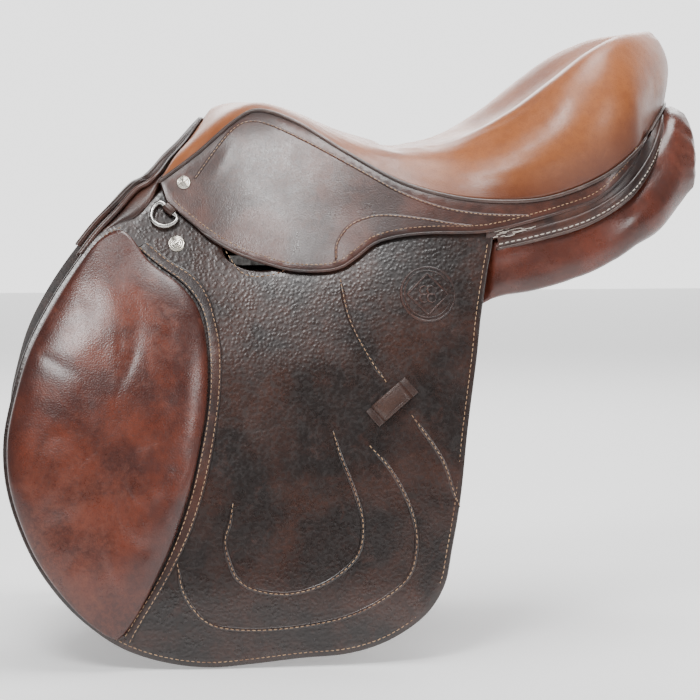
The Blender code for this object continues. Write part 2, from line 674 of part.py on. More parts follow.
def domed_pad(outline):
    """(points, faces) of the cushion on the flap: rings inside its outline, raised to a crown."""
    centre = Vector((-262 * LX, -178 * LZ))
    count, points, faces = len(outline), [], []
    rings = (1.0, 0.9, 0.72, 0.42)
    for upper in (0, 1):
        for share in rings + (0.0,):
            for p in (outline if share else [tuple(centre)]):
                x, z = centre.lerp(Vector(p), share)
                rise = math.sqrt(max(1 - share ** 2.6, 0)) * smooth((-z / LZ + 10) / 90)
                rise *= 1 - 0.3 * smooth((-z / LZ - 230) / 120)
                top = PAD_EDGE_HEIGHT + (KNEE_PAD_HEIGHT - PAD_EDGE_HEIGHT) * rise
                points.append((x, -(side(x, z) + FLAP_OUT + PAD_SEAT + (top - PAD_SEAT if upper else 0)), z))
    layer = len(rings) * count + 1
    for base in (0, layer):
        for r in range(len(rings) - 1):
            for k in range(count):
                a, b = base + r * count + k, base + r * count + (k + 1) % count
                faces.append((a, b, b + count, a + count))
        last = base + (len(rings) - 1) * count
        faces += [(last + k, last + (k + 1) % count, base + layer - 1) for k in range(count)]
    faces += [(k, (k + 1) % count, layer + (k + 1) % count, layer + k) for k in range(count)]
    return points, faces


def build_flaps():
    fold_a, fold_b = xz([FOLD_A])[0], xz([FOLD_B])[0]
    low_a, low_b = off_line(fold_a, fold_b, -FOLD_GAP / 2)
    high_a, high_b = off_line(fold_a, fold_b, FOLD_GAP / 2)
    turn = -222 * LX
    front, foot = xz(FLAP_FRONT), xz(FLAP_FOOT)
    lower = rounded(front + foot, closed=False)
    lower += [on_line(low_a, low_b, 50 * LX), on_line(low_a, low_b, turn), (-232 * LX, -13 * LZ), (-241 * LX, 1.5 * LZ)]
    flap = both_sides("flap", *plate(lower, FLAP_IN, FLAP_OUT), "flap_leather")
    upper = [on_line(high_a, high_b, turn + 0.5), on_line(high_a, high_b, 50.6 * LX)]
    upper += rounded(xz(FLAP_TOP_REAR), closed=False) + rounded(xz(FLAP_TOP), closed=False)
    upper += [(-230.5 * LX, -12 * LZ)]
    both_sides("flap_top", *plate(upper, FLAP_IN, FLAP_OUT, hole=xz(SLOT)), "flap_leather")

    pad = both_sides("knee_pad", *domed_pad(rounded(xz(PAD_REAR + PAD_FRONT))), "pad_leather")
    band = rounded(xz(BAND_INNER), closed=False) + rounded(xz(BAND_OUTER), closed=False)
    seam = both_sides("pad_band", *plate(band, FLAP_OUT + FIT, FLAP_OUT + FIT + 1.6), "flap_leather")
    both_sides("sweat_flap", *plate(xz(SWEAT_FLAP), SWEAT_IN, SWEAT_OUT), "strap_leather")

    # the keeper bridges the stirrup leather's loose end
    a, b = (-42 * LX, -162 * LZ), (-42 * LX + 43.3 * 0.762, -162 * LZ + 43.3 * 0.647)
    middle = ((a[0] + b[0]) / 2, (a[1] + b[1]) / 2)
    origin, along, across, normal = frame_on_side(*middle, (0.762, 0.647), FLAP_OUT, 0.9)
    half, foot_long = 21.6, 6.0
    rise, thick = KEEPER_RISE, KEEPER_THICKNESS
    profile = [(-half, 0), (-half + foot_long + 1, 0), (-half + foot_long + 2.5, rise),
               (half - foot_long - 2.5, rise), (half - foot_long - 1, 0), (half, 0), (half, thick),
               (half - foot_long, thick), (half - foot_long - 1.8, rise + thick),
               (-half + foot_long + 1.8, rise + thick), (-half + foot_long, thick), (-half, thick)]
    keeper = both_sides("flap_keeper", *prism(profile, origin, (along, normal, across), -8.5, 8.5), "strap_leather")
    hang_on(fold_middle(FOLD_A, FOLD_B, FLAP_OUT + 8.5, FLAP_OUT + 1.0), flap, pad, seam, keeper)


def build_skirts():
    fold_a, fold_b = xz([SKIRT_FOLD_A])[0], xz([SKIRT_FOLD_B])[0]
    low = off_line(fold_a, fold_b, -FOLD_GAP / 2)
    high = off_line(fold_a, fold_b, FOLD_GAP / 2)
    edge = rounded(xz(SKIRT_EDGE), closed=False)
    lobe = [low[0], low[1]] + edge
    skirt = both_sides("skirt", *plate(lobe, SKIRT_IN, SKIRT_OUT), "skirt_leather")
    hang_on(fold_middle(SKIRT_FOLD_A, SKIRT_FOLD_B, SKIRT_OUT + 0.5, SKIRT_OUT + 0.5), skirt)
    top = [(x, z - 1.2) for x, z in xz(SEAM[:12] + [(205, 75.7)])]
    tail = rounded(xz(SKIRT_TAIL), closed=False)
    both_sides("skirt_top", *plate(top + tail + [high[1], high[0]], SKIRT_IN, SKIRT_OUT), "skirt_leather")


def build_edges():
    half = rounded(xyz(WELT), closed=False)
    path = [(x, -y, z) for x, y, z in half] + half[-2::-1]
    profile = [(0, -WELT_HEIGHT / 2), (0, WELT_HEIGHT / 2), (-WELT_DEPTH, WELT_HEIGHT / 2),
               (-WELT_DEPTH, -WELT_HEIGHT / 2)]
    add_solid("panel_welt", *sweep(path, profile), "edge_leather")
    half = rounded(xyz(POMMEL_EDGE), closed=False)
    path = [(x, -y, z) for x, y, z in half] + half[-2::-1]
    profile = [(-5, -2), (-5, 2), (5, 2), (6, 0), (5, -2)]
    add_solid("pommel_binding", *sweep(path, profile, up=Vector((1, 0, 0))), "edge_leather")


def build_bars():
    y = 97.0 * LY
    low, high = (-33 * LZ - BLADE_HEIGHT / 2), (-33 * LZ + BLADE_HEIGHT / 2)
    pivot = -103 * LX
    tongue = BLADE_DEPTH * 0.45
    plate_y = side(-153 * LX, -33 * LZ) + (PLATE_IN + PLATE_OUT) / 2
    plan = [(-156 * LX, plate_y), (-149 * LX, plate_y), (-149 * LX, y), (pivot + 4, y), (pivot + 4, y + tongue),
            (pivot - 5, y + tongue), (pivot - 5, y + BLADE_DEPTH), (-156 * LX, y + BLADE_DEPTH)]
    for name, sign in (("left", -1), ("right", 1)):
        points = [(px, sign * py, pz) for pz in (low, high) for px, py in plan]
        n = len(plan)
        faces = [tuple(range(n)), tuple(range(2 * n - 1, n - 1, -1))]
        faces += [(i, (i + 1) % n, n + (i + 1) % n, n + i) for i in range(n)]
        arm = add_solid(f"stirrup_bar_{name}", points, faces, "steel")
        points, faces = plate(xz(BAR_PLATE), PLATE_IN, PLATE_OUT)
        points = [(p[0], -sign * p[1], p[2]) for p in points]
        helper = add_solid(f"bar_plate_helper_{name}", points, faces, "steel")
        helper.hide_render = True
        helper.display_type = "WIRE"
        union = arm.modifiers.new("plate", "BOOLEAN")
        union.operation, union.solver, union.object = "UNION", "EXACT", helper
    # the thumb catch turns about a pin through the tongue
    r = BLADE_HEIGHT / 2
    outline = [(-r * math.sin(t), r * math.cos(t)) for t in (math.pi * k / 6 for k in range(7))]
    outline += [(10, -r), (13, -r + 1.5), (13, r - 1.5), (10, r)]
    origin = Vector((pivot, 0, -33 * LZ))
    axes = (Vector((1, 0, 0)), Vector((0, 0, 1)), Vector((0, -1, 0)))
    catch = both_sides("bar_catch", *prism(outline, origin, axes, y + tongue + FIT, y + BLADE_DEPTH), "steel")
    hang_on((pivot, -(y + BLADE_DEPTH * 0.7), -33 * LZ), catch)
    for number, x in enumerate((-164, -119), start=1):
        origin, a, b, c = frame_on_side(x * LX, -20 * LZ, (1, 0), PLATE_OUT, 0.7)
        both_sides(f"bar_rivet_{number}", *disc(origin, (a, b, c), [(3.4, 0), (3.4, 1.0), (1.8, 2.0)], 10), "steel")


def ring_place():
    """(bar's centre, along the bar, away from the skirt, outward) of the near ring."""
    x, z = -205.6 * LX, 7.7 * LZ
    origin, along, across, normal = frame_on_side(x, z, (0.735, -0.678), FLAP_OUT, RING_LIFT)
    if across.x > 0:
        across = -across
    return origin, along, across, normal


def build_rings():
    origin, along, across, normal = ring_place()
    half, wide, reach = 8.0, 11.0, RING_REACH
    line = [(-half, 0), (-half / 3, 0), (half / 3, 0), (half, 0)]
    for k in range(15):
        t = math.pi * k / 14
        s, c = math.sin(t), math.cos(t)
        line.append((wide * c * (1 + 0.0 * s), 3.2 + (reach - 3.2) * s ** 0.9 if s > 0.01 else 3.2))
    path = [origin + along * p + across * q for p, q in line]
    radius = RING_WIRE / 2
    profile = [(radius * math.cos(t), radius * math.sin(t)) for t in (2 * math.pi * k / 8 for k in range(8))]
    ring = both_sides("d_ring", *sweep(path, profile, up=normal, closed=True), "steel")
    hang_on(origin, ring)

    gap, strap = radius + FIT, CHAPE_THICKNESS
    outer = gap + strap
    arc = [math.pi / 2 + math.pi * k / 8 for k in range(9)]
    profile = [(1.6, gap), (1.6, outer)] + [(outer * math.cos(t), outer * math.sin(t)) for t in arc]
    profile += [(14, -outer), (14, -gap)] + [(gap * math.cos(t), gap * math.sin(t)) for t in reversed(arc)]
    points, faces = prism(profile, origin, (-across, normal, along), -5.0, 5.0)
    both_sides("ring_chape", points, faces, "strap_leather")


def build_nails():
    dome = [(1.0, 0.0), (1.0, 0.25), (0.86, 0.55), (0.55, 0.85), (0.3, 0.95)]
    for name, (x, z), radius, out in (("skirt_nail", (-193, 31.5), NAIL_RADIUS, SKIRT_OUT),
                                      ("pommel_nail", (-200, -19), POMMEL_NAIL_RADIUS, FLAP_OUT)):
        origin, a, b, c = frame_on_side(x * LX, z * LZ, (1, 0), out, 0.5)
        profile = [(radius * r, NAIL_HEIGHT * h) for r, h in dome]
        both_sides(name, *disc(origin, (a, b, c), profile), "nickel")


def build_girthing():
    web_top, web_low = -24 * LZ, -49 * LZ
    first = -70 * LX
    web = [(first - 16, web_top), (first - 16, web_low), (first + 2 * BILLET_PITCH + 16, web_low),
           (first + 2 * BILLET_PITCH + 16, web_top)]
    both_sides("girth_web", *plate(web, BILLET_A - BILLET_THICKNESS / 2, BILLET_B + BILLET_THICKNESS / 2),
               "webbing")
    top = web_low - 3.5
    steps = 8
    for number, layer in enumerate((BILLET_A, BILLET_B, BILLET_A)):
        x0 = first + number * BILLET_PITCH
        half = BILLET_WIDTH / 2
        grids = []
        for part in (layer - BILLET_THICKNESS / 2, layer + BILLET_THICKNESS / 2):
            grid = []
            for k in range(steps + 1):
                z = top - BILLET_LENGTH * k / steps
                width = half * (0.45 if k == steps else 1.0)
                y = side_form(x0, z) + part
                lean = (side_form(x0 + 8, z) - side_form(x0 - 8, z)) / 16
                if k == steps:
                    z_before = top - BILLET_LENGTH * (k - 1) / steps
                    lean = (side_form(x0 + 8, z_before) - side_form(x0 - 8, z_before)) / 16
                grid.append([Vector((x0 + s * width, -(y + lean * s * width), z)) for s in (-1, 1)])
            grids.append(grid)
        billet = both_sides(f"billet_{number + 1}", *slab(*grids), "strap_leather")
        hang_on((x0, -side(x0, top - 8) - layer, top - 8), billet)


def hang_on(axis_point, *pairs):
    """Put each near and far pair's origin on their joint's axis, under an empty that stands there."""
    for sign, number in ((1, 0), (-1, 1)):
        at = Vector((axis_point[0], axis_point[1] * sign, axis_point[2])) * MM
        pivot = bpy.data.objects.new(f"{pairs[0][number].name}_pivot", None)
        pivot.location = at
        bpy.context.scene.collection.objects.link(pivot)
        for pair in pairs:
            pair[number].data.transform(Matrix.Translation(-at))
            pair[number].parent = pivot


def fold_middle(a, b, out_a, out_b):
    """The middle of a fold's hinge line, which stands off the near side at both ends."""
    (ax, az), (bx, bz) = xz([a, b])
    start, end = Vector((ax, -side(ax, az) - out_a, az)), Vector((bx, -side(bx, bz) - out_b, bz))
    return (start + end) / 2


def main():
    clear_scene()
    build_tree()
    build_seat()
    build_panels()
    build_flaps()
    build_skirts()
    build_edges()
    build_bars()
    build_rings()
    build_nails()
    build_girthing()


main()
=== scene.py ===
"""An English saddle dressed over its frame.

The leather sheets, the padded seat, pads and panels, the straps, the stitching and the metal fittings are built here.
A piece given a body of the frame rides on it; the pieces laid along a fold are baked in place and ride on no body.
Sizes are in millimetres unless a name says otherwise. X runs back to the cantle, Y to the off side and Z up.
"""
import logging
import math
from dataclasses import dataclass, field
from enum import Enum
from typing import Callable, Iterable, Optional, Sequence

import bmesh
import bpy
import numpy as np
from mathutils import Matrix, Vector, noise
from mathutils.geometry import delaunay_2d_cdt
from mathutils.kdtree import KDTree


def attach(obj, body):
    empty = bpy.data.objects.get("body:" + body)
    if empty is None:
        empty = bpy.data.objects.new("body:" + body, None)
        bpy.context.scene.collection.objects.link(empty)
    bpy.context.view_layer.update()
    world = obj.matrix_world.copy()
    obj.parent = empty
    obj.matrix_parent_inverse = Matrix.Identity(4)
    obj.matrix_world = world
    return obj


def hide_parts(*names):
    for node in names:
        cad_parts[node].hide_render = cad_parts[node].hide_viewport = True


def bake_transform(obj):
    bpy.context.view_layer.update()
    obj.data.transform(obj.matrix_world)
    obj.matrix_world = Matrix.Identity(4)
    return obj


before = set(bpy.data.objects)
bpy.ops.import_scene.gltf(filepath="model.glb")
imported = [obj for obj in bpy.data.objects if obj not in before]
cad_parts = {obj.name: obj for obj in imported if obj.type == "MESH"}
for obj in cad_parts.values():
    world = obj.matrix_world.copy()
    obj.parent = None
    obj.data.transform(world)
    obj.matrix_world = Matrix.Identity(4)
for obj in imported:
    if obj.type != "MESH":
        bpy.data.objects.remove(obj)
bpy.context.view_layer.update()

MM = 0.001
MIRROR = np.array([1, -1, 1])
LOG = logging.getLogger("saddle")

Pair = tuple[float, float]
Triple = tuple[float, float, float]
Colour = tuple[float, float, float]
Reach = float | Callable[[float, float], float]


class Hand(Enum):
    """The two sides of the saddle: the near side, where a rider mounts, and the off side."""

    NEAR = "left"
    OFF = "right"

    @property
    def sign(self) -> float:
        """The sign of Y on this side."""
        return -1.0 if self is Hand.NEAR else 1.0

    def name(self, piece: str) -> str:
        """The name, with this side's ending, of a piece, a node or a body of the frame."""
        return f"{piece}_{self.value}"


# ---- curves
def dense(points: Sequence[Sequence[float]], closed: bool = False, per: int = 12) -> np.ndarray:
    """A smooth curve through points.

    Args:
        points: two or more points of any dimension.
        closed: whether the curve runs on from its last point to its first.
        per: points put on each stretch.

    Returns:
        The curve's points, one to a row.
    """
    given = np.asarray(points, float)
    count = len(given)
    rows = []
    for i in range(count if closed else count - 1):
        if closed:
            a, b, c, d = (given[(i + k) % count] for k in (-1, 0, 1, 2))
        else:
            a, b, c, d = (given[min(max(i + k, 0), count - 1)] for k in (-1, 0, 1, 2))
        t = np.linspace(0, 1, per, endpoint=False)[:, None]
        gap = np.linalg.norm(c - b) + 1e-9
        before, after = np.linalg.norm(b - a) + 1e-9, np.linalg.norm(d - c) + 1e-9
        start = (c - a) * gap / (gap + before) if before > 1e-6 else (c - b)
        stop = (d - b) * gap / (gap + after) if after > 1e-6 else (c - b)
        rows.append(b * (2 * t**3 - 3 * t**2 + 1) + start * (t**3 - 2 * t**2 + t)
                    + c * (3 * t**2 - 2 * t**3) + stop * (t**3 - t**2))
    if not closed:
        rows.append(given[-1:])
    return np.concatenate(rows)


def run_length(line: np.ndarray) -> np.ndarray:
    """The distance along a line from its start to each of its points."""
    return np.concatenate([[0.0], np.cumsum(np.linalg.norm(np.diff(line, axis=0), axis=1))])


def resample(points: np.ndarray, step: float, closed: bool = False) -> np.ndarray:
    """The same line with its points spread evenly, about step apart."""
    line = np.vstack([points, points[:1]]) if closed else points
    along = run_length(line)
    count = max(int(round(along[-1] / step)), 2)
    at = np.linspace(0, along[-1], count + 1)
    even = np.stack([np.interp(at, along, line[:, k]) for k in range(line.shape[1])], axis=1)
    return even[:-1] if closed else even


def smooth_line(points: Sequence[Sequence[float]], step: float, closed: bool = False) -> np.ndarray:
    """A smooth curve through points, with its own points spread evenly."""
    return resample(dense(points, closed), step, closed)


def ease(t: float | np.ndarray) -> float | np.ndarray:
    """A step from 0 to 1 with soft ends."""
    t = np.clip(t, 0.0, 1.0)
    return t * t * (3 - 2 * t)


def turning(loop: np.ndarray) -> float:
    """Above zero where a flat loop runs anticlockwise."""
    x, z = loop[:, 0], loop[:, 1]
    return float(np.sum(x * np.roll(z, -1) - np.roll(x, -1) * z))


def moved_in(loop: np.ndarray, distance: float, closed: bool = True) -> np.ndarray:
    """A flat line moved square to itself: to the left of its run where distance is above zero."""
    if closed:
        ahead, back = np.roll(loop, -1, axis=0), np.roll(loop, 1, axis=0)
    else:
        ahead = np.vstack([loop[1:], loop[-1:]])
        back = np.vstack([loop[:1], loop[:-1]])
    run = ahead - back
    run /= np.linalg.norm(run, axis=1)[:, None] + 1e-9
    return loop + distance * np.stack([-run[:, 1], run[:, 0]], axis=1)


def within(points: np.ndarray, loop: np.ndarray) -> np.ndarray:
    """Whether each flat point lies inside the loop."""
    hit = np.zeros(len(points), bool)
    x, z = points[:, 0], points[:, 1]
    for (ax, az), (bx, bz) in zip(loop, np.roll(loop, -1, axis=0)):
        if az == bz:
            continue
        crosses = (az > z) != (bz > z)
        hit ^= crosses & (x < (bx - ax) * (z - az) / (bz - az) + ax)
    return hit


def distance_to(points: np.ndarray, line: np.ndarray, closed: bool = True) -> np.ndarray:
    """The distance from each flat point to a line."""
    ends = np.roll(line, -1, axis=0) if closed else line[1:]
    starts = line if closed else line[:-1]
    best = np.full(len(points), 1e9)
    for a, b in zip(starts, ends):
        run = b - a
        t = np.clip(((points - a) @ run) / (run @ run + 1e-12), 0, 1)
        best = np.minimum(best, np.linalg.norm(points - a - t[:, None] * run, axis=1))
    return best


# ---- shapes
@dataclass
class Shape:
    """Points in millimetres, the faces between them, and values carried by each point."""

    points: np.ndarray
    faces: list[tuple[int, ...]]
    marks: dict[str, np.ndarray] = field(default_factory=dict)
    slots: Optional[list[int]] = None

    def mirrored(self) -> "Shape":
        """The same piece on the other side of the middle plane."""
        return Shape(self.points * MIRROR, [tuple(reversed(f)) for f in self.faces], self.marks,
                     self.slots)

    def on(self, hand: Hand) -> "Shape":
        """The piece, which is drawn on the near side, on the side asked for."""
        return self if hand is Hand.NEAR else self.mirrored()

    def joined(self, *others: "Shape") -> "Shape":
        """One shape of this one and the others; marks are kept where all have them."""
        points, faces, slots = [self.points], list(self.faces), list(self.slots or [0] * len(self.faces))
        base = len(self.points)
        marks = {k: [v] for k, v in self.marks.items()}
        for other in others:
            points.append(other.points)
            faces += [tuple(i + base for i in f) for f in other.faces]
            slots += list(other.slots or [0] * len(other.faces))
            for key in marks:
                marks[key].append(other.marks.get(key, np.zeros(len(other.points))))
            base += len(other.points)
        return Shape(np.vstack(points), faces, {k: np.concatenate(v) for k, v in marks.items()}, slots)


def grid_faces(rows: int, columns: int, start: int = 0, round_rows: bool = False,
               round_columns: bool = False) -> list[tuple[int, ...]]:
    """The faces of a grid of points, which may close on itself either way."""
    faces = []
    for i in range(rows if round_rows else rows - 1):
        for j in range(columns if round_columns else columns - 1):
            a, b = i * columns, ((i + 1) % rows) * columns
            k = (j + 1) % columns
            faces.append((start + a + j, start + a + k, start + b + k, start + b + j))
    return faces


def slab(top: np.ndarray, bottom: np.ndarray) -> Shape:
    """The closed shape between two grids of points that have the same rows and columns."""
    rows, columns = top.shape[:2]
    count, end = rows * columns, (rows - 1) * columns
    faces = grid_faces(rows, columns) + [tuple(reversed(f)) for f in grid_faces(rows, columns, count)]
    loop = list(range(columns)) + [i * columns + columns - 1 for i in range(1, rows)]
    loop += [end + j for j in range(columns - 2, -1, -1)] + [i * columns for i in range(rows - 2, 0, -1)]
    faces += [(b, a, a + count, b + count) for a, b in zip(loop, loop[1:] + loop[:1])]
    return Shape(np.vstack([top.reshape(-1, 3), bottom.reshape(-1, 3)]), faces)


def over_middle(half: np.ndarray) -> np.ndarray:
    """A near-side line that ends on the middle plane, carried on over the off side."""
    return np.vstack([half, half[-2::-1] * MIRROR])


def turn_outward(mesh: bpy.types.Mesh) -> None:
    """Turn a closed mesh's faces outward."""
    bm = bmesh.new()
    bm.from_mesh(mesh)
    bmesh.ops.recalc_face_normals(bm, faces=bm.faces)
    if bm.calc_volume(signed=True) < 0:
        bmesh.ops.reverse_faces(bm, faces=bm.faces)
    bm.to_mesh(mesh)
    bm.free()


def build_mesh(name: str, shape: Shape, finishes: Sequence[bpy.types.Material],
               angle: Optional[float] = None) -> bpy.types.Object:
    """An object from a shape, with its faces turned outward and shaded smooth.

    Args:
        name: the piece's name.
        shape: its points and faces, in millimetres.
        finishes: the materials that the shape's slots count into.
        angle: edges sharper than this many degrees are shown as edges.

    Returns:
        The object, in the scene.
    """
    mesh = bpy.data.meshes.new(name)
    mesh.from_pydata((shape.points * MM).tolist(), [], shape.faces)
    for key, values in shape.marks.items():
        mark = mesh.attributes.new(key, "FLOAT", "POINT")
        mark.data.foreach_set("value", np.asarray(values, np.float32))
    if shape.slots:
        mesh.polygons.foreach_set("material_index", np.asarray(shape.slots, np.int32))
    for finish in finishes:
        mesh.materials.append(finish)
    turn_outward(mesh)
    mesh.shade_smooth()
    if angle is not None:
        mesh.set_sharp_from_angle(angle=math.radians(angle))
    obj = bpy.data.objects.new(name, mesh)
    bpy.context.scene.collection.objects.link(obj)
    return obj


def swept(path: np.ndarray, profile: Sequence[Pair], up: Optional[Sequence[float]] = None, closed: bool = False,
          scale: Optional[np.ndarray] = None, round_ends: bool = False) -> Shape:
    """A flat profile carried along a path.

    Args:
        path: the path's points, one to a row.
        profile: the closed outline carried, as (sideways, upward) from the path.
        up: the upward direction; without it the profile keeps its turn from point to point.
        closed: whether the path closes on itself.
        scale: the profile's size at each point of the path.
        round_ends: whether an open path's ends are drawn in to a soft point.

    Returns:
        The closed shape.
    """
    path = np.asarray(path, float)
    if round_ends and not closed:
        reach = max(abs(p[0]) for p in profile) * 0.9
        first = path[0] - path[1]
        last = path[-1] - path[-2]
        path = np.vstack([path[0] + first / np.linalg.norm(first) * reach, path,
                          path[-1] + last / np.linalg.norm(last) * reach])
        scale = np.ones(len(path)) if scale is None else np.concatenate([[1], scale, [1]])
        scale[0] = scale[-1] = 0.35
    count, sides = len(path), len(profile)
    if closed:
        tangents = np.roll(path, -1, axis=0) - np.roll(path, 1, axis=0)
    else:
        tangents = np.gradient(path, axis=0)
    tangents /= np.linalg.norm(tangents, axis=1)[:, None] + 1e-12
    points = []
    carried = np.array(up if up is not None else (0, 0, 1), float)
    if abs(np.dot(carried, tangents[0])) > 0.95:
        carried = np.array([1.0, 0, 0])
    for i in range(count):
        tangent = tangents[i]
        above = np.array(up, float) if up is not None else carried
        above = above - tangent * np.dot(above, tangent)
        above /= np.linalg.norm(above) + 1e-12
        carried = above
        out = np.cross(tangent, above)
        size = 1.0 if scale is None else scale[i]
        for a, b in profile:
            points.append(path[i] + (out * a + above * b) * size)
    faces = grid_faces(count, sides, round_rows=closed, round_columns=True)
    if not closed:
        faces += [tuple(range(sides)), tuple(reversed(range((count - 1) * sides, count * sides)))]
    return Shape(np.array(points), faces)


def round_profile(radius: float, sides: int = 10, flat: float = 1.0) -> list[Pair]:
    """A circle, or an ellipse that is lower than it is wide."""
    return [(radius * math.cos(2 * math.pi * k / sides), radius * flat * math.sin(2 * math.pi * k / sides))
            for k in range(sides)]


def strap_profile(width: float, thickness: float, corner: float = 0.8, base: float = 0.0) -> list[Pair]:
    """A flat strap's section with rounded corners, standing on its base."""
    half, top = width / 2, base + thickness
    corner = min(corner, thickness / 2.01, half / 2)
    outline = []
    for cx, cy, start in ((half - corner, top - corner, 0), (-half + corner, top - corner, 90),
                          (-half + corner, base + corner, 180), (half - corner, base + corner, 270)):
        for turn in (0, 45, 90):
            angle = math.radians(start + turn)
            outline.append((cx + corner * math.cos(angle), cy + corner * math.sin(angle)))
    return outline


def turned(origin: np.ndarray, axes: Sequence[np.ndarray], profile: Sequence[Pair], segments: int = 32) -> Shape:
    """A turned piece: profile is (radius, height), from the middle of its foot to the middle of its top."""
    a, b, c = (np.asarray(v, float) for v in axes)
    points, rings = [], [p for p in profile if p[0] > 0]
    points.append(origin + c * profile[0][1])
    for radius, height in rings:
        for k in range(segments):
            angle = 2 * math.pi * k / segments
            points.append(origin + (a * math.cos(angle) + b * math.sin(angle)) * radius + c * height)
    points.append(origin + c * profile[-1][1])
    faces = grid_faces(len(rings), segments, 1, round_columns=True)
    last = 1 + (len(rings) - 1) * segments
    for k in range(segments):
        faces.append((0, 1 + (k + 1) % segments, 1 + k))
        faces.append((last + k, last + (k + 1) % segments, len(points) - 1))
    return Shape(np.array(points), faces)


# ---- the side
class SideForm:
    """The smooth side of the saddle that every leather layer follows: its half-width at a place (x, z)."""

    FRONT: tuple[Pair, ...] = ((-388, 184), (-293, 177), (-208, 163), (-118, 138), (-48, 110), (-8, 91), (30, 74),
                               (57, 62), (77, 52), (97, 38), (110, 30))
    REAR: tuple[Pair, ...] = ((-388, 180), (-248, 170), (-163, 160), (-73, 146), (-23, 134), (12, 126), (62, 118))

    def __init__(self, softening: float = 9.0) -> None:
        """Draw both profiles finely and soften their corners.

        Args:
            softening: how far a corner is spread, in mm.
        """
        self.heights = np.arange(-420.0, 141.0, 1.0)
        reach = np.arange(-40, 41)
        weights = np.exp(-0.5 * (reach / softening) ** 2)
        weights /= weights.sum()
        self.lines = []
        for table in (self.FRONT, self.REAR):
            rows = np.array(table, float)
            line = np.interp(np.arange(-460.0, 181.0, 1.0), rows[:, 0], rows[:, 1])
            self.lines.append(np.convolve(line, weights, mode="valid")[:len(self.heights)])

    def half_width(self, x: float | np.ndarray, z: float | np.ndarray) -> float | np.ndarray:
        """The distance from the middle plane to the side at (x, z)."""
        t = ease((np.asarray(x, float) + 180) / 280)
        y = (1 - t) * np.interp(z, self.heights, self.lines[0]) + t * np.interp(z, self.heights, self.lines[1])
        past = np.clip((np.asarray(x, float) - 148) / 82, 0, 1)
        return y * np.sqrt(np.clip(1 - past**2, 0.05, 1))

    def lay(self, flat: np.ndarray, out: float | np.ndarray) -> np.ndarray:
        """Places (x, z) on the near side, out mm beyond the side surface, as points."""
        flat = np.asarray(flat, float)
        y = self.half_width(flat[:, 0], flat[:, 1]) + out
        return np.stack([flat[:, 0], -y, flat[:, 1]], axis=1)

    def normals(self, flat: np.ndarray) -> np.ndarray:
        """The outward direction of the near side at places (x, z)."""
        flat, step = np.asarray(flat, float), 2.0
        sx = (self.half_width(flat[:, 0] + step, flat[:, 1]) - self.half_width(flat[:, 0] - step, flat[:, 1])) / 4
        sz = (self.half_width(flat[:, 0], flat[:, 1] + step) - self.half_width(flat[:, 0], flat[:, 1] - step)) / 4
        out = np.stack([-sx, -np.ones(len(flat)), -sz], axis=1)
        return out / np.linalg.norm(out, axis=1)[:, None]

    def axes(self, x: float, z: float, along: Pair, out: float, lift: float
             ) -> tuple[np.ndarray, np.ndarray, np.ndarray, np.ndarray]:
        """A tangent plane of the near side.

        Args:
            x: place of its origin.
            z: place of its origin.
            along: direction of its first axis, on (x, z).
            out: the layer's distance beyond the side, along Y.
            lift: a further distance, square to the surface.

        Returns:
            (origin, first axis, second axis, outward).
        """
        normal = self.normals(np.array([[x, z]]))[0]
        step = 3.0
        sx = float(self.half_width(x + step, z) - self.half_width(x - step, z)) / (2 * step)
        sz = float(self.half_width(x, z + step) - self.half_width(x, z - step)) / (2 * step)
        first = np.array([along[0], -(sx * along[0] + sz * along[1]), along[1]])
        first /= np.linalg.norm(first)
        second = np.cross(normal, first)
        origin = self.lay(np.array([[x, z]]), out)[0] + normal * lift
        return origin, first, second / np.linalg.norm(second), normal


SIDE = SideForm()


def reach_at(reach: Reach, flat: np.ndarray) -> np.ndarray:
    """A layer's distance beyond the side at each place, whether it is a number or varies."""
    if callable(reach):
        return np.array([reach(x, z) for x, z in flat])
    return np.full(len(flat), float(reach))


